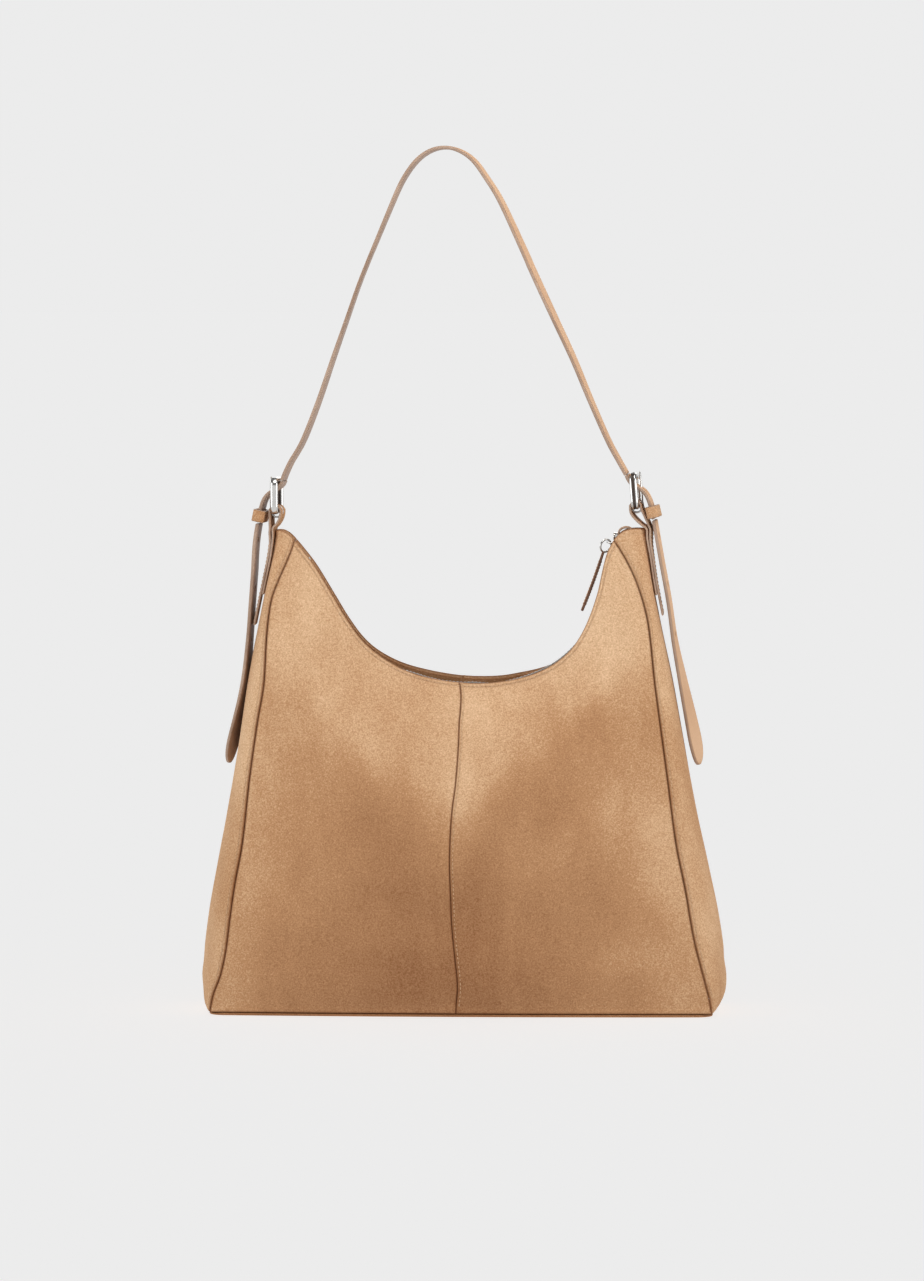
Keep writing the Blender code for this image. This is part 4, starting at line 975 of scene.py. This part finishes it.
STRAP_SKIN = [SUEDE_STRAP, INNER, EDGE]
c = stretch(cut_l, cut_r, 420)
ta = np.linspace(0, 1, 420)
arch_dirs = yaw_dir(YAW + np.radians(-4.6 * np.exp(-(((ta - 0.29) / 0.17) ** 2)) + 4.0 * np.exp(-(((ta - 0.73) / 0.15) ** 2))))
strap_ob, fr = ribbon("strap_leather", xz(c), STRAP_W, arch_dirs, STRAP_T, STRAP_SKIN, out_face=-1, crown=0.15, nap=0.1)
probe = fr["O"][len(fr["O"]) // 2]
if probe[2] < 0:
    bpy.data.objects.remove(strap_ob)
    strap_ob, fr = ribbon("strap_leather", xz(c), STRAP_W, arch_dirs, STRAP_T, STRAP_SKIN, out_face=1, crown=0.15, nap=0.1)
    OUT = 1
else:
    OUT = -1
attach(strap_ob, "strap")
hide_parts("strap")

for word, tail_pts, twist, hand in (("left", TAIL_L, TWIST_L, -1), ("right", TAIL_R, TWIST_R, 1)):
    c = stretch(0.0, cut_l - 0.3, 90) if hand < 0 else stretch(cut_r + 0.3, length[-1], 90)
    # the slot that the prong stands in
    bar = BAR_L if hand < 0 else BAR_R
    s_c = np.concatenate([[0], np.cumsum(np.linalg.norm(np.diff(c, axis=0), axis=1))])
    near = np.argmin(np.hypot(c[:, 0] - (bar[0] + hand * 4.3), c[:, 1] - (bar[1] + 15.6)))
    hole = (float(s_c[near]), 0.0, 7.4, 2.8)
    hole = (min(max(hole[0], 8.0), float(s_c[-1]) - 8.0), 0.0, 7.4, 2.8)
    ob, fr = ribbon(f"strap_end_{word}_leather", xz(c), STRAP_W, yaw_dir(np.full(len(c), YAW)), STRAP_T, STRAP_SKIN, [hole], out_face=OUT, nap=0.1)
    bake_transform(ob)
    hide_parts(f"strap_end_{word}")
    n = 220
    c = through(tail_pts, n)
    if hand < 0:
        c[:, 0] += 2.4 * step(362, 325, c[:, 1]) * (1 - 0.6 * step(240, 190, c[:, 1]))
    s = np.concatenate([[0], np.cumsum(np.linalg.norm(np.diff(c, axis=0), axis=1))])
    left_over = s[-1] - s
    point = 1 - (np.clip(24 - left_over, 0, 24) / 24) ** 2.2
    widths = STRAP_W * np.sqrt(np.clip(point, 0.012, 1))
    ang = YAW + (twist - YAW) * step(70, s[-1], s)
    # the strip runs down on the left, up-and-over then down on the right: its face is always the outer side
    o_try = np.cross(unit(np.array([c[1, 0] - c[0, 0], 0, c[1, 1] - c[0, 1]])), YDIR)
    face = 1 if o_try[0] * hand > 0 else -1
    holes = [(h, 0.0, 1.6, 1.6) for h in HOLES]
    ob, fr = ribbon(f"{word}_tail_leather", xz(c), widths, yaw_dir(ang), STRAP_T, STRAP_SKIN, holes, out_face=face, crown=0.12, nap=0.1)
    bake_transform(ob)
    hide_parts(f"{word}_tail")


# ---------------------------------------------------------------------------
# buckles, tabs, keepers
# ---------------------------------------------------------------------------
def swept(points, plane_out, profile, closed_loop=True, cap=True, scale=None):
    """Sweeps a profile of (outward in the loop's plane, along plane_out) round a path."""
    p, w = np.asarray(points, float), unit(np.asarray(plane_out, float))
    n, m = len(p), len(profile)
    verts, faces = [], []
    for i in range(n):
        t = p[(i + 1) % n] - p[i - 1] if closed_loop else p[min(i + 1, n - 1)] - p[max(i - 1, 0)]
        t = unit(t)
        o = unit(np.cross(t, w))
        kk = 1.0 if scale is None else scale[i]
        for a, b in profile:
            verts.append(p[i] + (o * a + w * b) * kk)
    for i in range(n if closed_loop else n - 1):
        for k in range(m):
            i1, k1 = (i + 1) % n, (k + 1) % m
            faces.append((i * m + k, i * m + k1, i1 * m + k1, i1 * m + k))
    if not closed_loop and cap:
        faces += [tuple(range(m))[::-1], tuple(range((n - 1) * m, n * m))]
    return verts, faces


def oval(a, b, m=24, dent=0.0):
    out = []
    for k in range(m):
        q = 2 * math.pi * k / m
        d = 1 - dent * math.exp(-((q if q < math.pi else q - 2 * math.pi) / 0.24) ** 2)
        out.append((a * math.cos(q) * d, b * math.sin(q)))
    return out


def joined(parts):
    """Several closed shells in one mesh."""
    verts, faces = [], []
    for v, f in parts:
        if volume(v, f) < 0:
            f = [tuple(reversed(q)) for q in f]
        k = len(verts)
        verts += [tuple(map(float, q)) for q in v]
        faces += [tuple(i + k for i in q) for q in f]
    return verts, faces


for word, bar, tilt, hand in (("left", BAR_L, TILT_L, -1), ("right", BAR_R, TILT_R, 1)):
    base = np.array([bar[0], 0.0, bar[1]])
    up = np.array([math.sin(tilt), 0.0, math.cos(tilt)])
    out = unit(np.cross(YDIR, up))
    out = out if out[0] * hand > 0 else -out
    across = YDIR
    up = np.cross(out, across) * (1 if np.dot(np.cross(out, across), up) > 0 else -1)
    ring_pts, r = [], 4.6
    for cy, cz, a0 in ((FRAME_HY - r, FRAME_H - r, 0), (-FRAME_HY + r, FRAME_H - r, 90), (-FRAME_HY + r, r, 180), (FRAME_HY - r, r, 270)):
        for k in range(13):
            a = math.radians(a0 + 90 * k / 12)
            ring_pts.append(base + across * (cy + r * math.cos(a)) + up * (cz + r * math.sin(a)))
    full = []
    for i, q in enumerate(ring_pts):
        nx = ring_pts[(i + 1) % len(ring_pts)]
        gap = np.linalg.norm(nx - q)
        steps = max(int(gap / 1.5), 1)
        full += [q + (nx - q) * k / steps for k in range(steps)]
    m = 44
    v, f = swept(full, out, oval(1.9, 2.8, m, 0.42))
    groove_cells = [1 if (k < 3 or k > m - 4) else 0 for _ in range(len(full)) for k in range(m)]
    ob = make(f"{word}_buckle_frame_metal", v, f, [NICKEL, GROOVE], True, groove_cells, sharp=0)
    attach(ob, "strap")
    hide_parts(f"{word}_buckle_frame")
    # prong
    eye = [base + out * 4.15 * math.cos(a) + up * 4.15 * math.sin(a) for a in np.linspace(0, 2 * math.pi, 40, endpoint=False)]
    sq = [(0.74 * math.copysign(abs(math.cos(q)) ** 0.6, math.cos(q)), 1.65 * math.copysign(abs(math.sin(q)) ** 0.6, math.sin(q))) for q in np.linspace(0, 2 * math.pi, 20, endpoint=False)]
    e = swept(eye, across, sq)
    pin = through([tuple(q) for q in (base + out * 4.2 + up * (-0.4), base + out * 4.35 + up * 8.0, base + out * 4.4 + up * 17.0, base + out * 4.35 + up * 24.0, base + out * 4.15 + up * 26.6)], 30)
    fade = np.concatenate([np.ones(24), np.array([0.97, 0.9, 0.8, 0.66, 0.48, 0.2])])
    pp = swept(pin, across, oval(0.95, 1.6, 18), False, True, fade)
    v, f = joined([e, pp])
    ob = make(f"{word}_prong_metal", v, f, NICKEL, True, sharp=0, turn=False)
    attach(ob, f"{word}_prong")
    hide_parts(f"{word}_prong")

    def on_gusset(z, off, hand=hand):
        return (hand * (float(along(SIDE, z)) + off) + float(lean(z)), z)

    thick = 1.6
    near_, far_ = 0.15 + thick / 2, 0.25 + thick * 1.5
    hx = on_gusset(HORN_Z, 0.0)[0]
    cx, cz = bar
    outer = [on_gusset(z, far_) for z in ((289.0 if hand < 0 else 297.0), 306.0, 322.0, 338.0, 350.0)] + [(hx + hand * 4.0, 358.0), (hx + hand * 3.7, 362.5)]
    loop = [(cx + hand * 4.3 * math.cos(q), cz + 4.3 * math.sin(q)) for q in np.radians([-14, 20, 55, 90, 125, 160, 195])]
    p0, p3 = np.array([cx - hand * 3.2, cz - 5.2]), np.array([hx + hand * 1.5, HORN_Z + 1.5])
    over = [tuple(p0), tuple(p0 + (p3 - p0) * 0.36 + (0, -0.8)), tuple(p0 + (p3 - p0) * 0.7 + (0, -0.4)), tuple(p3)]
    inner_side = over + [on_gusset(z, near_) for z in (354.0, 340.0, 326.0, 312.0)]
    c = through(outer + loop + inner_side, 260)
    s = np.concatenate([[0], np.cumsum(np.linalg.norm(np.diff(c, axis=0), axis=1))])
    # the slot for the prong's eye runs over the top of the loop
    ang = np.arctan2(c[:, 1] - cz, (c[:, 0] - cx) * hand)
    ring_zone = np.hypot(c[:, 0] - cx, c[:, 1] - cz) < 5.2
    zone = s[ring_zone & (c[:, 1] > cz - 3.8)]
    mid_s, half_s = (zone[0] + zone[-1]) / 2, (zone[-1] - zone[0]) / 2 + 0.2
    o_try = np.cross(unit(np.array([c[1, 0] - c[0, 0], 0, c[1, 1] - c[0, 1]])), YDIR)
    face = 1 if o_try[0] * hand > 0 else -1
    dirs = yaw_dir(YAW * step(335, 366, c[:, 1]))
    ob, fr = ribbon(f"{word}_tab_leather", xz(c), STRAP_W, dirs, thick, [SUEDE, SUEDE_STRAP, EDGE], [(mid_s, 0.0, half_s, 2.5)], across=26, out_face=face, corner=0.5, nap=0.1, spacing=1.6)
    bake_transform(ob)
    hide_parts(f"{word}_tab")
    # box of stitches that holds the tab to the side
    runs = border_runs(fr, 2.2, 2.0, 62.0, faces=(1,))
    sb = np.full(12, 2.2)
    for s_at in (2.2, 44.0):
        q = np.linspace(-8.6, 8.6, 14)
        P = np.array([np.interp(s_at, fr["s"], fr["P"][:, k]) for k in range(3)])
        D = np.array([np.interp(s_at, fr["s"], fr["D"][:, k]) for k in range(3)])
        O = np.array([np.interp(s_at, fr["s"], fr["O"][:, k]) for k in range(3)])
        runs.append((P + D * q[:, None] + O * thick / 2, np.repeat(O[None], 14, 0)))
    ob, _ = thread(f"{word}_tab_stitches", runs, 3.0, 2.3, 0.55)
    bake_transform(ob)

    # keeper
    kx, kz, kl = KEEP_L if hand < 0 else KEEP_R
    ox, oy, h, wall = 9.0, 27.2, 9.0, 1.8
    ca, sa = math.cos(math.radians(kl)), math.sin(math.radians(kl))

    def band(rx, ry, rr, nn=6, ny=8):
        pts = []
        for qx, qy, a0 in ((rx - rr, ry - rr, 0), (-rx + rr, ry - rr, 90), (-rx + rr, -ry + rr, 180), (rx - rr, -ry + rr, 270)):
            for k in range(nn + 1):
                a = math.radians(a0 + 90 * k / nn)
                pts.append((qx + rr * math.cos(a), qy + rr * math.sin(a)))
        return pts

    shells = []
    for grow, hh in ((0, -0.5), (0.25, -0.3), (0.4, 0), (0.25, 0.3), (0, 0.5)):
        pass
    layers = [(0.35, -h / 2), (0.08, -h / 2 + 0.35), (0.0, -h / 2 + 0.9), (0.0, 0.0), (0.0, h / 2 - 0.9), (0.08, h / 2 - 0.35), (0.35, h / 2)]
    inner = [(wall - 0.35, h / 2), (wall - 0.08, h / 2 - 0.35), (wall, h / 2 - 0.9), (wall, 0.0), (wall, -h / 2 + 0.9), (wall - 0.08, -h / 2 + 0.35), (wall - 0.35, -h / 2)]
    verts, lens = [], []
    for inset, hh in layers + inner:
        pts = band(ox / 2 - inset, oy / 2 - inset, max(2.4 - inset, 0.8))
        lens.append(len(pts))
        for lx, ly in pts:
            gx, gz = lx * ca + hh * sa, -lx * sa + hh * ca
            verts.append((kx + gx * math.cos(YAW) + ly * math.sin(YAW), -gx * math.sin(YAW) + ly * math.cos(YAW), kz + gz))
    m, L = lens[0], len(lens)
    faces, idx = [], []
    for q in range(L):
        q1 = (q + 1) % L
        for i in range(m):
            j = (i + 1) % m
            faces.append((q * m + i, q * m + j, q1 * m + j, q1 * m + i))
            idx.append(1 if q in (0, 6, 5, 13, 12, 7) else 0)
    edge = np.repeat([1, 0.6, 0.2, 0, 0.2, 0.6, 1] * 2, m)
    ob = make(f"{word}_keeper_leather", verts, faces, [SUEDE, EDGE], True, idx, {"edge": edge, "nap": np.full(len(verts), 0.1)}, sharp=0)
    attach(ob, "bag")
    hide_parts(f"{word}_keeper")


# ---------------------------------------------------------------------------
# zip
# ---------------------------------------------------------------------------
def on_track(a_deg, inward=0.0, onward=0.0):
    a = np.radians(a_deg)
    return (ZIP_CX + (ZIP_R - inward) * np.sin(a) + onward * np.cos(a), ZIP_CZ - (ZIP_R - inward) * np.cos(a) + onward * np.sin(a))


def track_pt(a_deg, inward, onward, y):
    inward = inward - 2.6 * float(1 - step(-32, -19, a_deg) * (1 - step(2, 12, a_deg))) * float(1 - step(60, 75, a_deg))
    inward = inward - 6.0 * float(step(66, 80, -a_deg)) - 2.6 * math.exp(-(((a_deg - 36.0) / 16.0) ** 2))
    x, z = on_track(a_deg, inward, onward)
    return (float(x), float(y), float(z))


PITCH = math.degrees(2.8 / ZIP_R)
for side, word in ((-1, "front"), (1, "back")):
    # tape: woven, with a corded edge that the teeth bite on
    n, prof = 220, []
    ys = [2.3, 2.5, 3.0, 3.6, 4.2, 6.0, 8.0, 10.0, 11.4]
    th = [0.35, 0.8, 0.95, 0.8, 0.4, 0.32, 0.32, 0.32, 0.32]
    ring_p = [(y, t) for y, t in zip(ys, th)] + [(y, -t) for y, t in zip(ys[::-1], th[::-1])]
    verts, faces = [], []
    for i in range(n + 1):
        a = -TAPE_END + 2 * TAPE_END * i / n
        for y, t in ring_p:
            drop = 1.2 * step(6.0, 11.4, y)
            verts.append(track_pt(a, t * 0.5 - drop, 0.0, side * y))
    m = len(ring_p)
    for i in range(n):
        for k in range(m):
            k1 = (k + 1) % m
            faces.append((i * m + k, i * m + k1, (i + 1) * m + k1, (i + 1) * m + k))
    faces += [tuple(range(m))[::-1], tuple(range(n * m, n * m + m))]
    ob = make(f"zip_tape_{word}_woven", verts, faces, TAPE, True, sharp=0)
    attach(ob, "front_mouth" if side < 0 else "bag")
    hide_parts(f"zip_tape_{word}")
    # teeth: each is a scoop with a shoulder, half a pitch off its neighbours opposite
    parts = []
    a = -TAPE_END + 2.6 + (PITCH / 2 if side > 0 else 0)
    while a < TAPE_END - 0.6:
        shape = [(-0.55, 0.62), (0.35, 0.78), (0.95, 0.78), (1.25, 0.72), (1.9, 0.72), (2.6, 0.80), (3.5, 0.74), (3.9, 0.55)]
        v, f = [], []
        for y, hw in shape:
            hh = 1.15 if y > 0.9 else 0.95
            for t, i in ((-hw, -hh * 0.72), (-hw * 0.75, -hh), (hw * 0.75, -hh), (hw, -hh * 0.72), (hw, hh * 0.72), (hw * 0.75, hh), (-hw * 0.75, hh), (-hw, hh * 0.72)):
                v.append(track_pt(a, i, t, side * y))
        for q in range(len(shape) - 1):
            for k in range(8):
                f.append((q * 8 + k, q * 8 + (k + 1) % 8, (q + 1) * 8 + (k + 1) % 8, (q + 1) * 8 + k))
        f += [tuple(range(8))[::-1], tuple(range((len(shape) - 1) * 8, len(shape) * 8))]
        parts.append((v, f))
        a += PITCH
    v, f = joined(parts)
    ob = make(f"zip_teeth_{word}_metal", v, f, TEETH, True, sharp=35, turn=False)
    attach(ob, "front_mouth" if side < 0 else "bag")
    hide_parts(f"zip_teeth_{word}")


def plate(i0, i1, waist=0.75):
    """A slider plate: a waisted outline, its rim rounded, between two heights over the track."""
    n = 48
    out = []
    for k in range(n):
        q = 2 * math.pi * k / n
        t = -0.45 + 4.05 * math.copysign(abs(math.cos(q)) ** 0.55, math.cos(q))
        w = 4.55 - waist * math.exp(-(((t + 2.2) / 1.7) ** 2)) - 0.5 * step(1.5, 3.6, t)
        y = w * math.copysign(abs(math.sin(q)) ** 0.6, math.sin(q))
        out.append((t, y))
    v, f = [], []
    lay = [(0.80, 0.0), (0.94, 0.04), (1.0, 0.28), (1.0, 0.72), (0.94, 0.96), (0.80, 1.0)]
    for kk, hh in lay:
        for t, y in out:
            v.append(track_pt(ZIP_END, i0 + (i1 - i0) * hh, -0.45 + (t + 0.45) * kk, y * kk))
    for q in range(len(lay) - 1):
        for k in range(n):
            f.append((q * n + k, q * n + (k + 1) % n, (q + 1) * n + (k + 1) % n, (q + 1) * n + k))
    f += [tuple(range(n))[::-1], tuple(range((len(lay) - 1) * n, len(lay) * n))]
    return v, f


low = 1.7
bail_path = [track_pt(ZIP_END, i, t, 0) for i, t in ((2.6, 2.6), (5.6, 2.5), (7.4, 0.4), (7.9, -2.4), (7.6, -4.3), (5.8, -4.5), (2.6, -4.2))]
bail = through(bail_path, 40)
crossbar = [track_pt(ZIP_END, BAR_IN, BAR_ON, y) for y in np.linspace(-2.8, 2.8, 10)]
parts = [plate(low, low + 1.3), plate(-low, -low - 1.3)]
blade = []
v, f = [], []
for i in np.linspace(-low - 0.3, low + 0.3, 6):
    for k in range(16):
        q = 2 * math.pi * k / 16
        v.append(track_pt(ZIP_END, i, -0.1 + 3.6 * math.cos(q), 0.45 * math.sin(q)))
for q in range(5):
    for k in range(16):
        f.append((q * 16 + k, q * 16 + (k + 1) % 16, (q + 1) * 16 + (k + 1) % 16, (q + 1) * 16 + k))
f += [tuple(range(16))[::-1], tuple(range(80, 96))]
parts.append((v, f))
for yy in (-2.2, 2.2):
    foot = through([track_pt(ZIP_END, i, t, yy) for i, t in ((2.4, -4.3), (4.6, -4.4), (6.6, -4.2), (BAR_IN, BAR_ON))], 16)
    parts.append(swept(foot, (0, 1, 0), oval(0.55, 0.62, 14), False))
w_bar = unit(np.array(track_pt(ZIP_END, 1.0, 0, 0)) - np.array(track_pt(ZIP_END, 0, 0, 0)))
parts.append(swept(crossbar, w_bar, oval(0.6, 0.6, 16), False))
v, f = joined(parts)
ob = make("zip_slider_metal", v, f, NICKEL, True, sharp=35, turn=False)
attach(ob, "slider")
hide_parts("zip_slider")

bx, bz = on_track(ZIP_END, BAR_IN, BAR_ON)
pull_dir = PULL_DIR / np.linalg.norm(PULL_DIR)
RING_C = np.array([float(bx), 0.0, float(bz)]) + pull_dir * (RING_R - RING_WIRE - 1.3)
ring_side = np.cross(pull_dir, (0.0, 1.0, 0.0)) * math.cos(math.radians(42)) + np.array([0.0, 1.0, 0.0]) * math.sin(math.radians(42))
ring_path = [RING_C + RING_R * (pull_dir * math.cos(q) + ring_side * math.sin(q)) for q in np.linspace(0, 2 * math.pi, 64, endpoint=False)]
v, f = swept(ring_path, (0, 1, 0), oval(RING_WIRE, RING_WIRE, 16))
ob = make("zip_pull_ring_metal", v, f, NICKEL, True, sharp=0)
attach(ob, "pull_ring")
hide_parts("zip_pull_ring")

start = RING_C + pull_dir * (RING_R - RING_WIRE - 2.2)
n = 60
pts = np.array([start + pull_dir * (2.9 + PULL_L * k / n) for k in range(n + 1)])
pts[:, 0] += 0.5 * np.sin(np.linspace(0, math.pi, n + 1))
wid = np.linspace(PULL_W0, PULL_W1, n + 1) * np.sqrt(np.clip(1 - np.clip((np.linspace(0, 1, n + 1) - 0.93) / 0.075, 0, 1) ** 2.4, 0.1, 1))
ob, fr = ribbon("zip_pull_tab_leather", pts, wid, np.repeat([[0.0, 1.0, 0.0]], n + 1, 0), 2.1, [SUEDE, SUEDE, PULL_EDGE], [(2.2, 0.0, 1.15, 1.5)], across=12, corner=0.5)
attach(ob, "pull_tab")
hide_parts("zip_pull_tab")
ob, _ = thread("zip_pull_stitches", border_runs(fr, 1.5, 6, PULL_L - 4), 2.4, 1.8, 0.42)
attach(ob, "pull_tab")

for hand, word, a_end in ((-1, "left", -TAPE_END - 0.6), (1, "right", 92.2)):
    q0 = on_track(a_end, 0.0)
    if hand < 0:
        path = [(-117.6, 339.0), (-121.0, 342.0), (-127.0, 348.0), (-131.5, 353.0)]
    else:
        path = [(116.0, 357.2), (117.6, 360.6), (121.2, 362.4), (125.4, 361.6), (128.6, 357.4)]
    c = through([(float(a), float(b)) for a, b in path], 60)
    ob, fr = ribbon(f"zip_end_tab_{word}_leather", xz(c), 15.0, np.repeat([[0.0, 1.0, 0.0]], 60, 0), 1.4, [SUEDE, SUEDE, EDGE], across=14, corner=0.4, spacing=1.0)
    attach(ob, "bag")
    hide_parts(f"zip_end_tab_{word}")

v, f = [], []
lay = [(1.5, 3.1, 1.2), (1.6, 3.4, 1.6), (2.1, 3.4, 1.6), (2.5, 3.1, 1.3), (2.7, 2.6, 0.9)]
for i, hy, ht in lay:
    for k in range(24):
        q = 2 * math.pi * k / 24
        cq, sq_ = math.cos(q), math.sin(q)
        v.append(track_pt(-TAPE_END + 1.6, i, ht * math.copysign(abs(cq) ** 0.4, cq), hy * math.copysign(abs(sq_) ** 0.4, sq_)))
for q in range(len(lay) - 1):
    for k in range(24):
        f.append((q * 24 + k, q * 24 + (k + 1) % 24, (q + 1) * 24 + (k + 1) % 24, (q + 1) * 24 + k))
f += [tuple(range(24))[::-1], tuple(range(24 * (len(lay) - 1), 24 * len(lay)))]
ob = make("zip_bottom_stop_metal", v, f, TEETH, True, sharp=0)
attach(ob, "bag")
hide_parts("zip_bottom_stop")


# ---------------------------------------------------------------------------
# the CAD nodes that stay get a finished material
# ---------------------------------------------------------------------------
stays = {"base_board": BOARD}
for node, material in stays.items():
    ob = nodes[node] if not isinstance(nodes[node], str) else bpy.data.objects[node]
    ob = ob if hasattr(ob, "material_slots") else bpy.data.objects[node]
    for slot in ob.material_slots:
        slot.material = material


# ---------------------------------------------------------------------------
# stage, light and camera
# ---------------------------------------------------------------------------
scene = bpy.context.scene
scene.view_settings.view_transform = "Standard"
scene.view_settings.look = "None"
PALE = 0.838
world = bpy.data.worlds.new("studio")
scene.world = world
world.use_nodes = True
# the sky is pale round the horizon and dimmer overhead, so that metal has something to reflect
wt = world.node_tree
bg = wt.nodes["Background"]
wc = wt.nodes.new("ShaderNodeTexCoord")
ws = wt.nodes.new("ShaderNodeSeparateXYZ")
wr = wt.nodes.new("ShaderNodeValToRGB")
wt.links.new(wc.outputs["Generated"], ws.inputs[0])
wt.links.new(ws.outputs["Z"], wr.inputs["Fac"])
wt.links.new(wr.outputs["Color"], bg.inputs["Color"])
we = wr.color_ramp.elements
while len(we) < 4:
    we.new(0.5)
for k, (pos, val) in enumerate([(0.0, PALE), (0.10, PALE), (0.26, 0.16), (1.0, 0.22)]):
    we[k].position = pos
    we[k].color = (val, val, val, 1)

floor_m = bpy.data.materials.new("pale_floor")
floor_m.use_nodes = True
t = floor_m.node_tree
b = t.nodes["Principled BSDF"]
FLOOR_A = 0.4
b.inputs["Base Color"].default_value = (FLOOR_A, FLOOR_A, FLOOR_A, 1)
b.inputs["Roughness"].default_value = 0.9
b.inputs["Specular IOR Level"].default_value = 0.0
b.inputs["Emission Color"].default_value = (1, 1, 1, 1)
b.inputs["Emission Strength"].default_value = PALE - FLOOR_A * 0.214
bm = bmesh.new()
bmesh.ops.create_circle(bm, cap_ends=True, segments=96, radius=60.0)
mesh = bpy.data.meshes.new("pale_floor")
bm.to_mesh(mesh)
bm.free()
mesh.materials.append(floor_m)
floor = bpy.data.objects.new("pale_floor", mesh)
floor.location = (0, 0, -0.0004)
scene.collection.objects.link(floor)

lit = bpy.data.collections.new("lit_by_lamps")
for ob in list(bpy.data.objects):
    if ob.type == "MESH" and ob is not floor:
        lit.objects.link(ob)


def area(name, at, target, size, watts, colour=(1, 1, 1)):
    d = bpy.data.lights.new(name, "AREA")
    d.shape = "RECTANGLE"
    d.size, d.size_y = size
    d.energy = watts
    d.color = colour
    o = bpy.data.objects.new(name, d)
    scene.collection.objects.link(o)
    from mathutils import Vector
    v = Vector(target) - Vector(at)
    o.location = at
    o.rotation_euler = v.to_track_quat("-Z", "Y").to_euler()
    o.light_linking.receiver_collection = lit
    return o


area("top_softbox", (0.25, -0.75, 1.9), (0, 0, 0.25), (1.5, 1.0), 22.0, (1.0, 0.985, 0.96))
area("right_softbox", (1.9, -0.9, 0.7), (0, 0, 0.25), (0.7, 1.4), 11.5)
area("left_softbox", (-1.9, -0.7, 0.7), (0, 0, 0.25), (0.7, 1.4), 13.0)
area("back_softbox", (0.2, 1.9, 1.2), (0, 0, 0.3), (1.6, 1.0), 8.0)

AZ, EL, DIST = math.radians(2.3), math.radians(3.5), 4.7
target = (-0.0008, 0.0, 0.27726)
back = (math.sin(AZ) * math.cos(EL), -math.cos(AZ) * math.cos(EL), math.sin(EL))
cam = bpy.data.cameras.new("camera")
cam.sensor_fit = "VERTICAL"
cam.sensor_height = 24.0
cam.lens = 24.0 * 4700.0 / 960.75
cam.clip_start, cam.clip_end = 0.1, 200.0
cam_ob = bpy.data.objects.new("camera", cam)
scene.collection.objects.link(cam_ob)
cam_ob.location = tuple(t_ + b_ * DIST for t_, b_ in zip(target, back))
from mathutils import Vector
cam_ob.rotation_euler = Vector(tuple(-b_ for b_ in back)).to_track_quat("-Z", "Y").to_euler()
scene.camera = cam_ob

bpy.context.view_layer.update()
